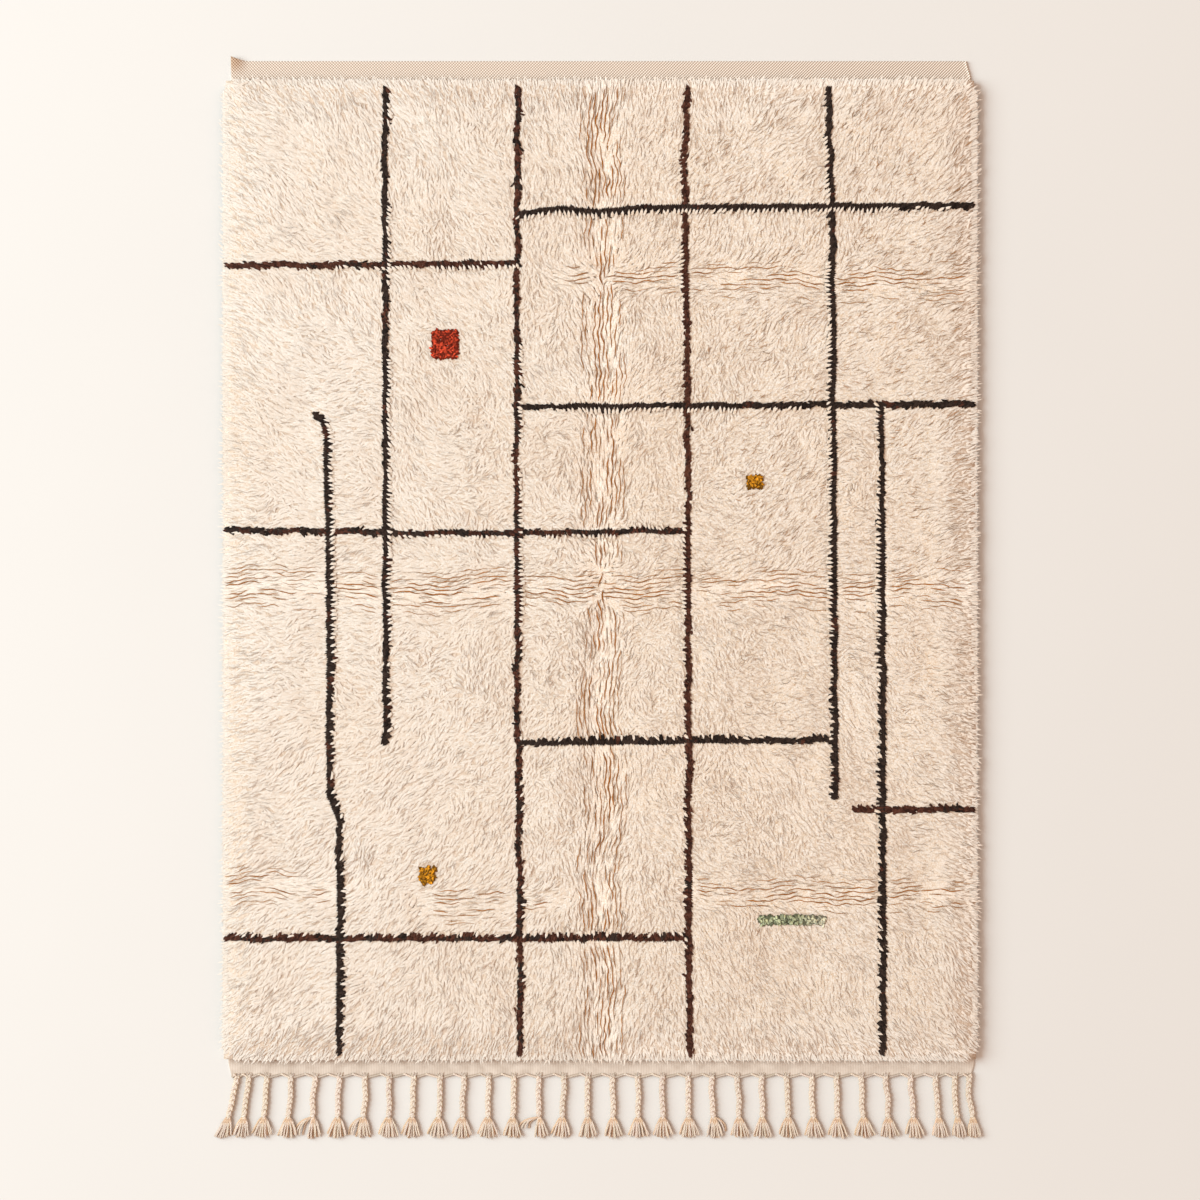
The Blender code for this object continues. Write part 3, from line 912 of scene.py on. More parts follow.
def parting_paths(tree):
    """Short dark strands along the shag's flow: painted shade of its small partings."""
    paths, halves, colours = [], [], []
    half_x, half_y = SHAG_WIDTH / 2 - 0.012, SHAG_LENGTH / 2 - 0.012
    while len(paths) < PARTINGS:
        x, y = rng.uniform(-half_x, half_x), rng.uniform(-half_y, half_y) + SHAG_Y
        room = min(SHAG_WIDTH / 2 - abs(x), SHAG_LENGTH / 2 - abs(y - SHAG_Y))
        border = 1 - eased(room / BORDER)
        crowd = 0.5 + 0.9 * noise.noise(Vector((x, y, 3.0)) / 0.07) + 0.3 * border
        step = mixed(rng.uniform(*MIDDLE_STEPS), rng.uniform(*BORDER_STEPS), border)
        if rng.random() > crowd:
            continue
        path = [(x, y)]
        for _ in range(PARTING_RINGS):
            flow = flow_at(x, y)[0].normalized()
            wobble = rng.normal(0, mixed(MIDDLE_WOBBLE, BORDER_WOBBLE, border))
            x, y = x + (flow.x - wobble * flow.y) * step, y + (flow.y + wobble * flow.x) * step
            path.append((x, y))
        clear = all(tree.find((x, y, 0))[2] > LINE_CLEAR[1] for x, y in path)
        inside = all(abs(x) < half_x + 0.004 and abs(y - SHAG_Y) < half_y + 0.004 for x, y in path)
        if clear and inside and not any(near_accent(*spot, 0.003) for spot in path):
            paths.append(path)
            halves.append(rng.uniform(*PARTING_HALVES))
            flow = flow_at(x, y)[0].normalized()
            # painted shade, darker across the light and paler towards the left
            plain = mixed(PARTING_LEAST, 1.0, abs(flow.dot(LIT_ACROSS)))
            plain *= mixed(PARTING_PALE_LEFT, 1.0, eased(0.5 + x / SHAG_WIDTH))
            colours.append(mixed(CREAM, PARTING_PAINTED_SHADE * rng.uniform(0.45, 1.25), plain))
    return paths, halves, colours


def fold_paths(tree):
    """Longer dark strands, painted shade of the partings between the ribs beside the fold marks."""
    paths, halves, colours = [], [], []
    for crease in CREASES:
        for number in range(-FOLD_RIBS, FOLD_RIBS + 1):
            for run in np.arange(crease.start + 0.012, crease.end - 0.045, FOLD_EVERY):
                run += rng.uniform(-0.3, 0.3) * FOLD_EVERY
                off = number * RIB_PITCH
                weight = math.exp(-((off / (1.25 * crease.width)) ** 2)) * rib_open(run, number)
                weight *= 0.65 + 0.35 * crease.depth / CREASES[0].depth
                path = []
                for ring in range(FOLD_RINGS + 1):
                    along = run + ring * FOLD_STEP
                    across = crease.place + off - rib_wander(along)
                    across += FOLD_WAVE * stray(along / FOLD_WAVE_SPAN + number * 5.1, 79)
                    across += crease_wander(crease, along)
                    spot = (across, along) if crease.along == "y" else (along, across)
                    path.append((spot[0], spot[1] + SHAG_Y))
                clear = all(tree.find((x, y, 0))[2] > LINE_CLEAR[0] for x, y in path)
                run_way = (Vector(path[-1]) - Vector(path[0])).normalized()
                flow = flow_at(*path[len(path) // 2])[0].normalized()
                clear = clear and abs(flow.dot(run_way)) > FOLD_ASTRAY
                if rng.random() < FOLD_CHANCE * weight and clear:
                    paths.append(path)
                    halves.append(FOLD_HALF * (0.35 + 0.65 * weight) * rng.uniform(0.7, 1.2))
                    shade = mixed(PARTING_PAINTED_SHADE, FOLD_PAINTED_SHADE, weight)
                    colours.append(shade * rng.uniform(0.8, 1.25))
    return paths, halves, colours


# ================================================================ materials
class Shading:
    """A material under construction: its nodes, and links between them."""

    def __init__(self, name):
        self.material = bpy.data.materials.new(name)
        self.material.use_nodes = True
        self.tree = self.material.node_tree
        self.shader = self.tree.nodes["Principled BSDF"]

    def add(self, kind, settings=(), **inputs):
        """A node. An input is named with _ for a space, or with i and its number."""
        made = self.tree.nodes.new(kind)
        for name, value in dict(settings).items():
            setattr(made, name, value)
        for name, value in inputs.items():
            numbered = name[1:].isdigit()
            self.feed(made.inputs[int(name[1:]) if numbered else name.replace("_", " ")], value)
        return made

    def feed(self, socket, value):
        if isinstance(value, bpy.types.NodeSocket):
            self.tree.links.new(value, socket)
        else:
            socket.default_value = value

    def yarn(self):
        """The mesh's own yarn colours."""
        return self.add("ShaderNodeAttribute", {"attribute_name": "yarn"}).outputs["Color"]

    def place(self):
        """Where a point lies on the rug."""
        return self.add("ShaderNodeTexCoord").outputs["Object"]

    def fibre(self):
        """A point's share round its yarn, and how far along the yarn it is."""
        return self.add("ShaderNodeUVMap", {"uv_map": "fibre"}).outputs[0]

    def parts(self, vector):
        return self.add("ShaderNodeSeparateXYZ", (), i0=vector).outputs

    def noise(self, vector, scale, detail):
        """Smooth noise as a number and as a colour."""
        inputs = {"Vector": vector, "Scale": scale, "Detail": detail}
        return self.add("ShaderNodeTexNoise", (), **inputs).outputs

    def math(self, operation, first, second=0.0):
        return self.add("ShaderNodeMath", {"operation": operation}, i0=first, i1=second).outputs[0]

    def total(self, first, second):
        return self.math("ADD", first, second)

    def less(self, first, second):
        return self.math("SUBTRACT", first, second)

    def product(self, first, second):
        return self.math("MULTIPLY", first, second)

    def off(self, value, middle):
        return self.math("ABSOLUTE", self.less(value, middle))

    def moved(self, operation, vector, by):
        settings = {"operation": operation}
        return self.add("ShaderNodeVectorMath", settings, i0=vector, i1=by).outputs[0]

    def tinted(self, share, first, second):
        """A colour between two, by a share."""
        settings = {"data_type": "RGBA"}
        return self.add("ShaderNodeMix", settings, i0=share, i6=first, i7=second).outputs[2]

    def times(self, first, second):
        """One colour multiplied by another."""
        settings = {"data_type": "RGBA", "blend_type": "MULTIPLY"}
        return self.add("ShaderNodeMix", settings, i0=1.0, i6=first, i7=second).outputs[2]

    def spread(self, value, low, high):
        """value as a share of the way from low to high."""
        return self.add("ShaderNodeMapRange", (), i0=value, i1=low, i2=high).outputs[0]

    def finish(self, colour, height, distance, roughness, sheen):
        bump = self.add("ShaderNodeBump", (), Height=height, Distance=distance)
        sockets = self.shader.inputs
        self.feed(sockets["Normal"], bump.outputs[0])
        self.feed(sockets["Base Color"], colour)
        sockets["Roughness"].default_value = roughness
        sockets["Sheen Weight"].default_value = sheen
        sockets["Sheen Roughness"].default_value = 0.5
        sockets["Specular IOR Level"].default_value = 0.15
        return self.material


def fibre_wool(wool):
    """Wool in the mesh's own yarn colours, with painted shade. Each tail is darker at its two
    edges, in thin lines between its fibres, in the pits between small curls and in the curls'
    own wandering lines, which are plainer towards the right and fade towards the shag's rim,
    each by a share."""
    made = Shading(wool.name)
    fibre = made.fibre()
    off_crest = made.off(made.parts(fibre)[0], CREST_AT)
    at_edge = made.product(made.spread(off_crest, 0.26, 0.33), wool.edge)
    fibres = made.noise(made.moved("MULTIPLY", fibre, FIBRE_STRETCH), 1.0, 1.0)[0]
    on_line = made.product(made.spread(made.off(fibres, 0.5), 0.06, 0.01), wool.hair)
    spot = made.place()
    pits = made.spread(made.noise(spot, CURL_GRAIN, 2.0)[0], 0.56, 0.38)
    loops = made.spread(made.off(made.noise(spot, CURLY_LINES, 1.0)[0], 0.5), 0.040, 0.012)
    loops = made.product(loops, made.spread(made.noise(spot, CURLY_PATCHES, 1.0)[0], 0.42, 0.56))
    loops = made.product(loops, wool.loop)
    x, y, _ = made.parts(spot)
    room = made.math(
        "MINIMUM",
        made.less(SHAG_WIDTH / 2, made.off(x, 0.0)),
        made.less(SHAG_LENGTH / 2, made.off(y, SHAG_Y)),
    )
    curled = made.math("MAXIMUM", made.product(pits, wool.curl), loops)
    curled = made.product(curled, made.spread(x, -0.98, 0.15))
    curled = made.product(curled, made.spread(room, -0.02, 0.10))
    groove_shade = made.math("MAXIMUM", made.math("MAXIMUM", at_edge, on_line), curled)
    colour = made.times(made.yarn(), made.tinted(groove_shade, PLAIN, GROOVE_PAINTED_SHADE))
    return made.finish(colour, made.less(1.0, groove_shade), wool.depth, 0.95, wool.sheen)


def bed_wool():
    """The dense wool at the tails' roots, in the mesh's own yarn colours."""
    made = Shading("bed_wool")
    tufts = made.noise(made.place(), 220.0, 4.0)[0]
    grain = made.tinted(made.spread(tufts, 0.35, 0.65), BED_GRAIN, PLAIN)
    return made.finish(made.times(made.yarn(), grain), tufts, 0.002, 0.95, 0.1)


def weave():
    """The bare ends' yarn, in relief and with painted shade between its crowns: a diamond weave
    at the top end, where one diagonal is plainer towards the right, and uneven ribs at the lower
    end."""
    made = Shading("ground_weave")
    place = made.place()
    strays = made.noise(place, 45.0, 2.0)
    astray = made.moved("SUBTRACT", strays[1], (0.5, 0.5, 0.5))
    place = made.moved("ADD", place, made.moved("MULTIPLY", astray, (WEAVE_STRAY,) * 3))
    x, y, _ = made.parts(place)
    turn = math.pi / WEAVE_CELL
    rising = made.math("COSINE", made.product(made.less(x, y), turn))
    falling = made.math("COSINE", made.product(made.total(x, y), turn))
    plainer = made.product(made.spread(x, -0.75, 0.55), 0.5)
    rising = made.product(rising, made.total(plainer, 0.35))
    falling = made.product(falling, made.less(0.65, plainer))
    ribs = made.math("COSINE", made.product(x, 2 * math.pi / LOW_RIB_PITCH))
    uneven = made.product(made.less(strays[0], 0.5), LOW_RIB_UNEVEN)
    ribs = made.total(made.total(made.product(ribs, 0.09), 0.22), uneven)
    at_top = made.math("GREATER_THAN", y, 0.0)
    diamonds = made.product(made.total(rising, falling), at_top)
    ribs = made.product(ribs, made.less(1.0, at_top))
    crown = made.spread(made.total(diamonds, ribs), -1.0, 0.75)
    colour = made.times(made.tinted(crown, WEAVE_PAINTED_SHADE, WEAVE_LIGHT), made.yarn())
    colour = made.times(colour, made.tinted(at_top, LOW_END_TONE, PLAIN))
    return made.finish(colour, crown, WEAVE_RELIEF, 0.9, 0.15)


def plied_yarn():
    """Plied yarn in the mesh's own colours, with a twist of two plies round it, and painted
    shade in the twist's grooves and at its two sides."""
    made = Shading("fringe_yarn")
    fibre = made.fibre()
    around, along, _ = made.parts(fibre)
    turns = made.product(around, 6.0 * math.pi)
    wave = made.math("SINE", made.total(turns, made.product(along, 2.0 * math.pi / PLY_PITCH)))
    share = made.spread(wave, -1.0, 0.2)
    grain = made.spread(made.noise(fibre, 400.0, 2.0)[0], 0.2, 0.8)
    both = made.total(share, made.product(grain, 0.4))
    colour = made.times(made.yarn(), made.tinted(share, PLY_GROOVE_PAINTED_SHADE, PLAIN))
    aside = made.spread(made.off(around, 0.25), 0.12, 0.24)
    colour = made.times(colour, made.tinted(aside, PLAIN, YARN_EDGE_PAINTED_SHADE))
    return made.finish(colour, both, 0.0005, 0.9, 0.15)


def floor_paint():
    """Pale paint, faintly cloudy."""
    made = Shading("pale_floor")
    cloudy = made.noise(made.place(), 1.3, 3.0)[0]
    colour = made.tinted(made.spread(cloudy, 0.3, 0.7), FLOOR_PALE, FLOOR_SHADED)
    return made.finish(colour, cloudy, 0.0001, 0.85, 0.0)


# ================================================================ the ground
def curled(x, y):
    """How far the ground's top left corner lifts off the floor."""
    past_shag = eased((y - GROUND_TOP_Y + UPPER_END) / UPPER_END)
    near_corner = eased(1 - (x + GROUND_HALF_TOP) / CURL_SPAN)
    return CURL_RISE * past_shag * near_corner


def pulled(x, y):
    """How far that corner is drawn up along the rug."""
    past_shag = eased((y - GROUND_TOP_Y + UPPER_END) / UPPER_END)
    return CORNER_PULL * past_shag * max(1 - (x + GROUND_HALF_TOP) / CORNER_SPAN, 0) ** 1.3


def ground_half(y):
    """Half the ground's width: a little more at its lower end, where both corners round in."""
    share = (y - GROUND_LOW_Y) / (GROUND_TOP_Y - GROUND_LOW_Y)
    corner = eased(1 - (y - GROUND_LOW_Y) / LOWER_END)
    return mixed(GROUND_HALF_LOW, GROUND_HALF_TOP, share) - LOW_CORNER_CUT * corner


def hem_at(x, y, half):
    """1 in the middle of the turned hem at the top end's right side, and 0 beside it."""
    past_shag = 1.0 if y > GROUND_TOP_Y - UPPER_END - UNDER_SHAG else 0.0
    return past_shag * max(1 - abs(half - x - HEM_WIDE / 2) / (HEM_WIDE / 2), 0)


def hem_shift(y):
    """How far the sheet's right edge moves: it follows the slant of the top end's hem, and lies
    a little further out along the lower end."""
    if y < 0:
        return LOW_RIGHT_OUT
    return HEM_SLOPE * (eased((GROUND_TOP_Y - y) / UPPER_END) - 0.5)


def make_ground(material):
    """The woven sheet. Its lower face has the same columns and fewer rows."""
    half_steps = round(GROUND_HALF_TOP / GROUND_STEP)
    inner = np.linspace(-1, 1, 2 * half_steps + 1)[1:-1]
    border = 1 - np.array((0.0, 0.25, 0.5, 0.75, 1.0)) * HEM_WIDE / GROUND_HALF_TOP
    inner = inner[np.abs(inner) < border[-1] - 0.001]
    x_shares = np.concatenate((-border, inner, border[::-1]))
    columns = len(x_shares) - 1
    top_end = np.arange(GROUND_TOP_Y, GROUND_TOP_Y - UPPER_END - UNDER_SHAG, -GROUND_STEP)
    low_end = np.arange(GROUND_LOW_Y, GROUND_LOW_Y + LOWER_END + UNDER_SHAG, GROUND_STEP)[::-1]
    upper_rows = list(top_end) + list(HIDDEN_ROWS) + list(low_end)
    lower_rows = [0] + list(range(3, len(top_end), 4)) + [len(top_end)]
    lower_rows += list(range(len(top_end) + len(HIDDEN_ROWS), len(upper_rows)))
    gaps = heading_gaps(tassel_places())
    points, tints = [], []
    for row in list(range(len(upper_rows))) + lower_rows:
        y = upper_rows[row]
        half = ground_half(y)
        above = len(points) < len(upper_rows) * len(x_shares)
        for share in x_shares:
            x = half * share + hem_shift(y) * eased((share - 0.9) / 0.1)
            lift = curled(x, y)
            moved = y + pulled(x, y) + edge_shift(x, y, gaps)
            if above:
                hem = hem_at(half * share, y, half)
                # painted shade: the curled corner is darker the higher it lifts
                painted_shade = mixed(np.ones(3), CORNER_PAINTED_SHADE, eased(1.4 * (lift / CURL_RISE)))
                points.append((x, moved, GROUND_THICK + HEM_RISE * hem + lift))
                tints.append(painted_shade * (1 + HEM_BRIGHT * hem))
            else:
                points.append((x, moved, lift))
                tints.append(np.ones(3))
    wide = columns + 1
    top_count = len(upper_rows) * wide
    faces = grid_faces(0, len(upper_rows) - 1, columns, True)
    faces += grid_faces(top_count, len(lower_rows) - 1, columns)
    last_upper, last_lower = top_count - wide, top_count + (len(lower_rows) - 1) * wide
    for column in range(columns):
        faces.append((column, column + 1, top_count + column + 1, top_count + column))
        low, high = last_lower + column, last_upper + column
        faces.append((high, low, low + 1, high + 1))
    for number, (first, after) in enumerate(zip(lower_rows, lower_rows[1:])):
        for side in (0, columns):
            down = [row * wide + side for row in range(first, after + 1)]
            back = [top_count + (number + 1) * wide + side, top_count + number * wide + side]
            faces.append(tuple(down + back) if side else tuple((down + back)[::-1]))
    return placed(faced_mesh("ground_cloth", points, faces, tints), material, "ground")


# ================================================================ the shag
def make_bed(material):
    """The dense wool under the tails, as a closed lumpy slab, in painted shade that deepens under
    the fold marks.
    """
    foot = GROUND_THICK + CLEARANCE
    half_x, half_y = SHAG_WIDTH / 2 - BED_INSET, SHAG_LENGTH / 2 - BED_INSET
    columns, rows = round(2 * half_x / BED_STEP), round(2 * half_y / BED_STEP)
    points, tones = [], []
    for row in range(rows + 1):
        for column in range(columns + 1):
            x = half_x * (2 * column / columns - 1) * (1 - UPPER_DRAW_IN / half_x * row / rows)
            y = half_y * (2 * row / rows - 1) + SHAG_Y
            folded = folded_at(x, y - SHAG_Y)
            sink = BED_SUNK + BED_FOLD_SUNK * folded
            points.append((x, y, max(surface(x, y) - sink, foot + 0.0008)))
            # painted shade, deeper under the fold marks
            tones.append(mixed(BED_PAINTED_SHADE, DEEP_PAINTED_SHADE, 0.20 * eased(1.6 * folded)))
    wide = columns + 1
    faces = grid_faces(0, rows, columns)
    rim = list(range(wide)) + [row * wide + columns for row in range(1, rows + 1)]
    rim += [rows * wide + column for column in range(columns - 1, -1, -1)]
    rim += [row * wide for row in range(rows - 1, 0, -1)]
    under = len(points)
    points += [(points[number][0], points[number][1], foot) for number in rim]
    tones += [BED_PAINTED_SHADE] * len(rim)
    for number in range(len(rim)):
        after = (number + 1) % len(rim)
        faces.append((rim[after], rim[number], under + number, under + after))
    faces.append(tuple(range(under + len(rim) - 1, under - 1, -1)))
    return placed(faced_mesh("pile_bed", points, faces, tones), material, "pile")


def part_of(tails, keep):
    return Tails(*(column[keep] for column in tails))


def joined(first, second):
    """Two lots of tails as one."""
    return Tails(*(np.concatenate(pair) for pair in zip(first, second)))


def rim_tails():
    """Finer tails that hang over the shag's rim on all sides."""
    spots, outs = [], []
    half_x, half_y = SHAG_WIDTH / 2, SHAG_LENGTH / 2
    for side in (-1, 1):
        for at in np.arange(-half_y + RIM_ENDS, half_y - RIM_ENDS, RIM_STEP):
            spots.append((side * half_x, at + SHAG_Y))
            outs.append((side, RIM_SPLAY * at / half_y))
        for at in np.arange(-half_x + RIM_ENDS, half_x - RIM_ENDS, RIM_STEP):
            spots.append((at, side * half_y + SHAG_Y))
            outs.append((RIM_SPLAY * at / half_x, side))
    for number, (x, y) in enumerate(spots):
        cut = max(-corner_room(x, y) / 2, 0)
        diagonal = Vector((math.copysign(1, x), math.copysign(1, y - SHAG_Y)))
        spots[number] = (x - cut * diagonal.x, y - cut * diagonal.y)
        turned = Vector(outs[number]).lerp(diagonal, eased(cut / 0.006)).normalized()
        outs[number] = tuple(turned)
    spots, outs = np.array(spots), np.array(outs)
    count = len(spots)
    flows = [flow_at(*(spot - 0.01 * out))[0] for spot, out in zip(spots, outs)]
    flows = [flow.lerp(Vector(out), 0.3) for flow, out in zip(flows, outs)]
    angle = np.array([math.atan2(flow.y, flow.x) for flow in flows]) + rng.normal(0, 0.09, count)
    inward = rng.uniform(-0.0005, 0.0022, count)
    tips = spots - outs * inward[:, None] + rng.normal(0, 0.0007, (count, 2))
    over_end = np.abs(outs[:, 1]) > np.abs(outs[:, 0])
    floor = np.where(over_end, GROUND_THICK + CLEARANCE, 0.0008)
    top = rng.uniform(*RIM_TOPS, count)
    foot = floor + 0.0005
    reach = rng.uniform(*RIM_REACH, count)
    bend = rng.normal(0, 0.10, count)
    half = rng.uniform(*RIM_HALVES, count)
    return Tails(tips, angle, reach, bend, foot, top, half, cream_colours(tips))


def make_pile():
    """The bed, the cream tails in bands, the rim, the lines and the accents."""
    wool, dark_wool, parting_shade_wool = (fibre_wool(wool) for wool in WOOLS)
    pieces = [make_bed(bed_wool())]
    line_spots, line_colours, middles, cores = line_tails()
    accent_spots, accent_colours = accent_tails()
    tree = line_tree(middles)
    spots = cream_spots(tree)
    cream = grown(spots, cream_colours(spots), CREAM_GROWTH)
    dense = grown(cores, line_colours[:: len(LINE_ACROSS)], CORE_GROWTH)
    lines = joined(dense, grown(line_spots, line_colours, LINE_GROWTH))
    # painted shade: the lower tails show darker in the pits
    under = grown(accent_spots, accent_colours * UNDER_ACCENT_PAINTED_SHADE, UNDER_GROWTH)
    shown = rng.random(len(accent_spots)) < ACCENT_FILL
    bright = accent_colours[shown] * rng.uniform(*ACCENT_BRIGHT, (shown.sum(), 1))
    accents = joined(under, grown(accent_spots[shown], bright, OVER_GROWTH))
    tooth_spots = line_teeth()
    teeth = grown(tooth_spots, cream_colours(tooth_spots), TOOTH_GROWTH)

    def add(mesh, material):
        pieces.append(placed(mesh, material, "pile"))

    order = np.argsort(spots[:, 1])
    for band, keep in enumerate(np.array_split(order, BANDS), 1):
        add(tail_mesh(f"pile_cream_{band}", part_of(cream, keep), TAIL_RINGS, TAIL_TIP_RISE), wool)
    add(tail_mesh("pile_rim", rim_tails(), RIM_RINGS, RIM_TIP_RISE, RIM_ROOT_PAINTED_SHADE), wool)
    add(tail_mesh("pile_line_edges", teeth, TAIL_RINGS, TAIL_TIP_RISE), wool)
    add(strand_mesh("pile_parting_shade", *parting_paths(tree)), parting_shade_wool)
    add(strand_mesh("pile_fold_shade", *fold_paths(tree)), parting_shade_wool)
    add(tail_mesh("pile_lines", lines, TAIL_RINGS, TAIL_TIP_RISE), dark_wool)
    add(tail_mesh("pile_accents", accents, TAIL_RINGS, TAIL_TIP_RISE), dark_wool)
    return pieces


# ================================================================ the fringe
def tassel_places():
    """Where the tassels hang along the heading, from left to right."""
    pitch = (EVEN_TO - EVEN_FROM) / (EVEN_TASSELS - 1)
    places = [
        EVEN_FROM + pitch * number + PLACE_JITTER * stray(number * 0.77, 41)
        for number in range(EVEN_TASSELS)
    ]
    for gap in LEFT_GAPS:
        places.insert(0, places[0] - gap)
    for gap in RIGHT_GAPS:
        places.append(places[-1] + gap)
    return places


def heading_gaps(places):
    """The heading's stretches from tassel to tassel: each one's start, highest place and end."""
    stations = [0.010 - HEADING_HALF] + places + [HEADING_HALF - 0.002]
    return [
        (first, mixed(first, last, CORD_TICK + 0.16 * stray(number * 0.9, 61)), last)
        for number, (first, last) in enumerate(zip(stations, stations[1:]))
    ]


def heading_y(x, first, tick, last):
    """Where the heading runs within one stretch: up to its highest place and down again."""
    if x < tick:
        bowed = max((x - first) / (tick - first), 0) ** 1.4
    else:
        bowed = 1 - max((x - tick) / (last - tick), 0) ** 0.8
    return GROUND_LOW_Y - mixed(CORD_LOW, CORD_HIGH, bowed)


def edge_shift(x, y, gaps):
    """How far the ground's lower edge moves to follow the heading."""
    near = eased(1 - (y - GROUND_LOW_Y) / EDGE_DEPTH)
    x = min(max(x, gaps[0][0]), gaps[-1][2])
    for first, tick, last in gaps:
        if first <= x <= last and near > 0:
            return near * (heading_y(x, first, tick, last) + 0.0012 - GROUND_LOW_Y)
    return 0.0


def tassel_axis(place, along):
    """The middle of a tassel's underside, at a distance from the ground's edge. Tassels lean
    outwards, and most at the left corner."""
    corner = math.exp(-(place + HEADING_HALF) / LEAN_LEFT_SPAN)
    lean = LEAN_OUT * place / HEADING_HALF - LEAN_LEFT * corner
    lean += LEAN_JITTER * stray(place * 23, 51)
    bent = (max(along, 0) / NECK_AT) ** LEAN_BEND
    return Vector((place + lean * bent, GROUND_LOW_Y - along, 0))


def plait_wander(place, along):
    """Plaits aren't quite straight: a slow sideways wander that dies out at both ends."""
    ends = math.sin(math.pi * min(max(along / NECK_AT, 0), 1))
    return PLAIT_WANDER * ends * stray(along / 0.045 + place * 31, 83)


def tube_points(path, radii, sides, flat=1.0):
    """The rings of a tube about a path that lies roughly level, and its tip."""
    rings = []
    for number, (middle, radius) in enumerate(zip(path, radii)):
        before, after = path[max(number - 1, 0)], path[min(number + 1, len(path) - 1)]
        ahead = (after - before).normalized()
        aside = ahead.cross(Vector((0, 0, 1))).normalized()
        up = aside.cross(ahead)
        for side in range(sides):
            turn = 2 * math.pi * side / sides
            rings.append(middle + (aside * math.cos(turn) + up * math.sin(turn) * flat) * radius)
    rings.append(path[-1] + (path[-1] - path[-2]).normalized() * radii[-1] * 0.6)
    return rings


def yarn_mesh(name, paths, radii, sides, tones, flat=1.0):
    """Many tubes with the same number of rings as one mesh."""
    points = np.array([tube_points(path, radii, sides, flat) for path in paths])
    shares = list(np.linspace(0, 0.99, len(radii))) + [1.0]
    lengths = np.array([sum((b - a).length for a, b in zip(path, path[1:])) for path in paths])
    colours = np.array(tones)[:, None, :] * np.ones((1, points.shape[1], 1))
    mesh = many_tubes(name, points, shares, sides, lengths, colours)
    soften(mesh, YARN_SOFTNESS)
    return mesh


def yarn_tone():
    return YARN_LIGHT * rng.normal(1.0, 0.04) * (1, rng.uniform(0.97, 1.0), rng.uniform(0.93, 1.0))


def make_fringe(material):
    """The plaits, necks, tufts, heading and roots."""
    places = tassel_places()
    makers = (plait_mesh, neck_mesh, tuft_mesh, heading_mesh, root_mesh)
    return [placed(make(places), material, "fringe") for make in makers]


def plait_mesh(places):
    """The tassels' plaits of three strands."""
    plaits, tones = [], []
    for place in places:
        start = rng.uniform(0, 1)
        for strand in range(3):
            path = []
            for share in shares_of(PLAIT_RINGS):
                along = mixed(PLAIT_FROM, NECK_AT, share)
                turn = 2 * math.pi * (along / PLAIT_PERIOD + strand / 3 + start)
                spot = tassel_axis(place, along)
                spot.x += PLAIT_SWING * math.sin(turn) + plait_wander(place, along)
                spot.z = STRAND_HALF * STRAND_FLAT + PLAIT_LIFT * (1 + math.sin(2 * turn))
                path.append(spot)
            plaits.append(path)
            tones.append(yarn_tone())
    return yarn_mesh("fringe_plaits", plaits, [STRAND_HALF] * PLAIT_RINGS, 6, tones, STRAND_FLAT)


def neck_mesh(places):
    """The wraps between plait and tuft."""
    necks = []
    for place in places:
        path = []
        for share in shares_of(NECK_RINGS):
            spot = tassel_axis(place, mixed(NECK_AT - 0.006, NECK_AT + 0.005, share))
            spot.z = NECK_HALF
            path.append(spot)
        necks.append(path)
    radii = [NECK_HALF * (0.82 + 0.18 * (ring % 2)) for ring in range(NECK_RINGS)]
    return yarn_mesh("fringe_necks", necks, radii, 10, [yarn_tone() for _ in places])


def tuft_mesh(places):
    """The tufts' yarns in three layers, fanned out, with a stray lock on a few. The lowest layer is
    in painted shade.
    """
    tips = [tassel_axis(place, TASSEL_LENGTH).x for place in places]
    tufts, tones = [], []
    for number, place in enumerate(places):
        beside = tips[max(number - 1, 0) : number] + tips[number + 1 : number + 2]
        room = min(abs(tip - tips[number]) for tip in beside)
        fan = min(TUFT_SPREAD, (room - FAN_GAP) / 2 + 0.0015)
        lock = STRAYS.get(number)
        for yarn in range(TUFT_YARNS):
            side = 2 * (yarn + 0.5) / TUFT_YARNS - 1 + rng.uniform(-0.11, 0.11)
            layer = yarn % 3
            end = TASSEL_LENGTH - 0.005 * side * side - rng.uniform(0, 0.006)
            kink, slow = rng.uniform(0, 6.28), rng.uniform(0, 6.28)
            path = []
            for share in shares_of(TUFT_RINGS):
                if lock is not None and yarn < lock.yarns:
                    along = mixed(NECK_AT + 0.002, NECK_AT + lock.down, share**1.7)
                    aside = lock.aside * (1 - 0.17 * yarn) * math.sin(share * math.pi / 2)
                else:
                    along = mixed(NECK_AT + 0.002, end, share)
                    aside = side * mixed(0.0032, fan - TUFT_YARN_HALF, share**0.72)
                spot = tassel_axis(place, along)
                spot.x += aside + TUFT_KINK * math.sin(5.5 * share + slow) * share
                spot.x += 0.4 * TUFT_KINK * math.sin(14 * share + kink)
                level = mixed(0.0050 - 0.0012 * layer, 0.0020 * layer, eased(share * 1.3))
                spot.z = TUFT_YARN_HALF + level
                path.append(spot)
            tufts.append(path)
            # painted shade on the lowest layer
            tones.append(yarn_tone() * (UNDER_YARN_PAINTED_SHADE if layer == 0 else 1))
    radii = [TUFT_YARN_HALF] * (TUFT_RINGS - 1) + [0.85 * TUFT_YARN_HALF]
    return yarn_mesh("fringe_tufts", tufts, radii, 5, tones)


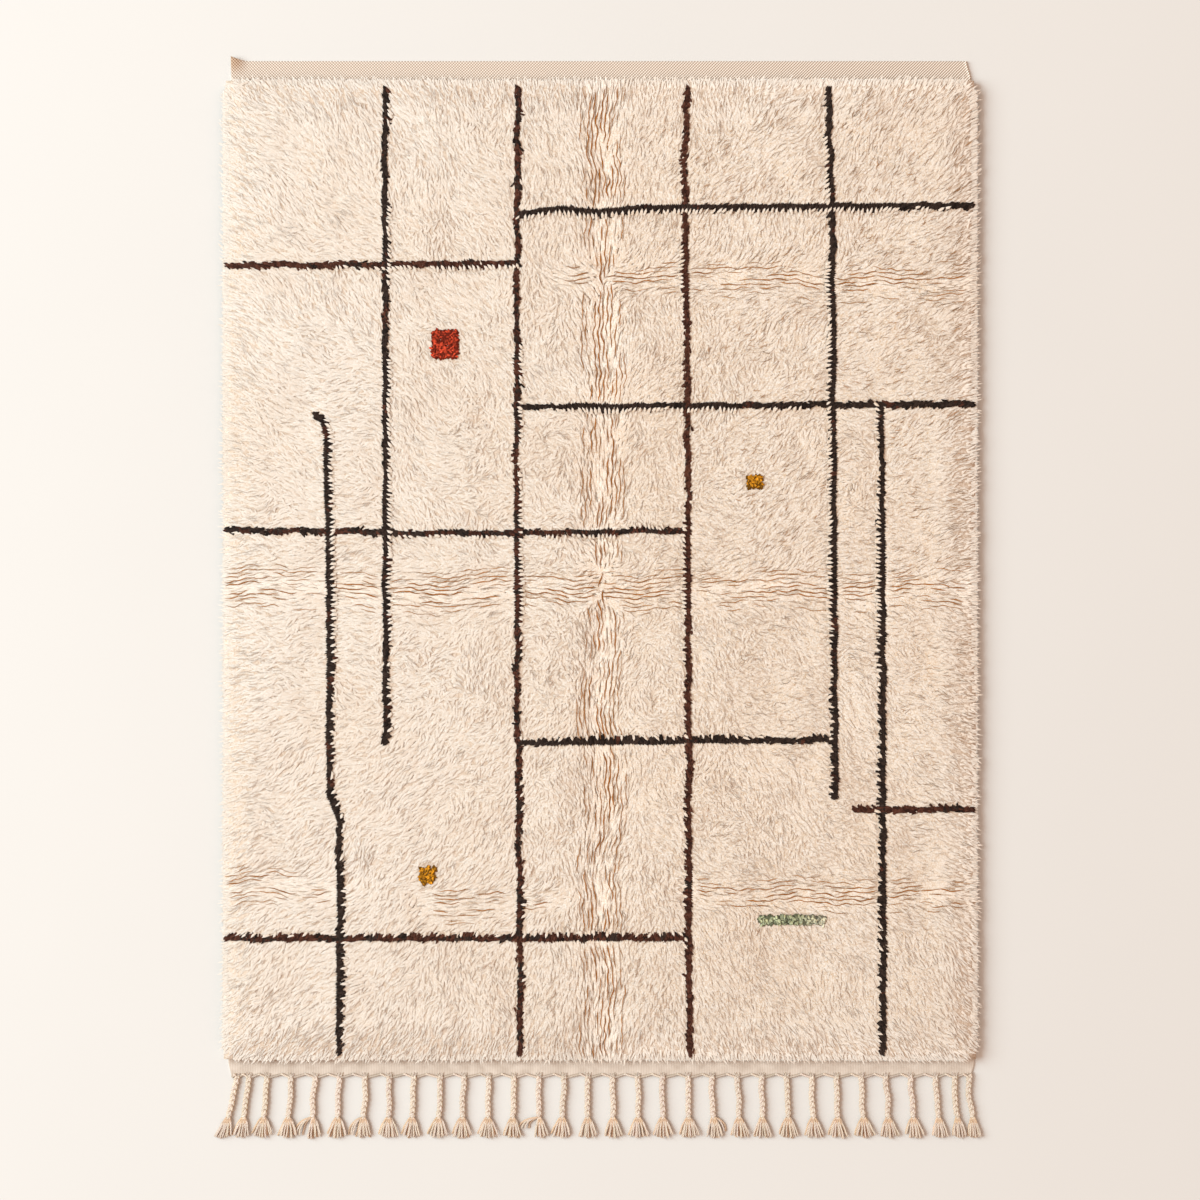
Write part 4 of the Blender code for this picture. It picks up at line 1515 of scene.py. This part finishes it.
def root_mesh(places):
    """Warps that gather from the cloth into each tassel."""
    roots, tones = [], []
    for place in places:
        for yarn in range(ROOT_YARNS):
            side = 2 * yarn / (ROOT_YARNS - 1) - 1
            climb = ROOT_CLIMB * rng.uniform(0.75, 1.10)
            path = []
            for share in shares_of(ROOT_RINGS):
                x = place + side * mixed(0.0016, ROOT_SPREAD, share)
                y = GROUND_LOW_Y + mixed(-0.003, climb, share)
                path.append(Vector((x, y, GROUND_THICK + ROOT_YARN_HALF * (1.5 - 1.6 * share**2))))
            roots.append(path)
            tones.append(yarn_tone() * (0.86, 1.06)[yarn % 2])
    return yarn_mesh("fringe_roots", roots, [ROOT_YARN_HALF] * ROOT_RINGS, 5, tones)


def heading_mesh(places):
    """The twined heading. Between two tassels one cord climbs from the first, and another lies
    over its end and sinks to the second. The climbing cord is in painted shade, and the one
    over it has painted light."""
    cords, tones = [], []
    for first, tick, last in heading_gaps(places):
        # painted shade on the climbing cord and painted light on the one over it
        stretches = ((first, tick + 0.0010, 0.80, 0), (tick - 0.0022, last, 1.08, 0.0012))
        for start, end, cord_painted_light, lift in stretches:
            path = []
            for share in shares_of(CORD_RINGS):
                x = mixed(start, end, share)
                y = heading_y(x, first, tick, last)
                high = (y - GROUND_LOW_Y + CORD_LOW) / (CORD_LOW - CORD_HIGH)
                path.append(Vector((x, y, mixed(0.0034, 0.0046, high) + lift)))
            cords.append(path)
            tones.append(yarn_tone() * cord_painted_light)
    return yarn_mesh("fringe_heading", cords, [CORD_HALF] * CORD_RINGS, 6, tones)


# ================================================================ the studio
def make_studio():
    """The floor, the camera straight above, and soft light from the upper left."""
    far = FLOOR_HALF
    corners = [(-far, -far, 0), (far, -far, 0), (far, far, 0), (-far, far, 0)]
    mesh = mesh_of("floor", corners, [0, 1, 2, 3], [4])
    mesh.materials.append(floor_paint())
    floor = bpy.data.objects.new("floor", mesh)

    camera = bpy.data.cameras.new("camera")
    camera.lens = LENS
    camera.sensor_width = 36.0
    above = bpy.data.objects.new("camera", camera)
    above.location = (0, 0, CAMERA_HEIGHT)

    light = bpy.data.lights.new("key", "AREA")
    light.shape = "SQUARE"
    light.size = KEY_SIZE
    light.energy = KEY_POWER
    light.color = KEY_COLOUR
    key = bpy.data.objects.new("key", light)
    key.location = KEY_PLACE
    key.rotation_euler = Vector(KEY_PLACE).to_track_quat("Z", "Y").to_euler()

    world = bpy.data.worlds.new("studio")
    world.use_nodes = True
    background = world.node_tree.nodes["Background"]
    background.inputs["Color"].default_value = ROOM_COLOUR
    background.inputs["Strength"].default_value = ROOM_STRENGTH
    scene = bpy.context.scene
    for item in (floor, above, key):
        scene.collection.objects.link(item)
    floor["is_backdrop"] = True
    scene.camera = above
    scene.world = world
    scene.view_settings.view_transform = "Standard"


make_studio()
SHAG_NORMALS = shag_facing()
ground = make_ground(weave())
pile = make_pile()
fringe = make_fringe(plied_yarn())

looks_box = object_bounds()
boxes = [[list(corner) for corner in box] for box in (cad_box, looks_box)]
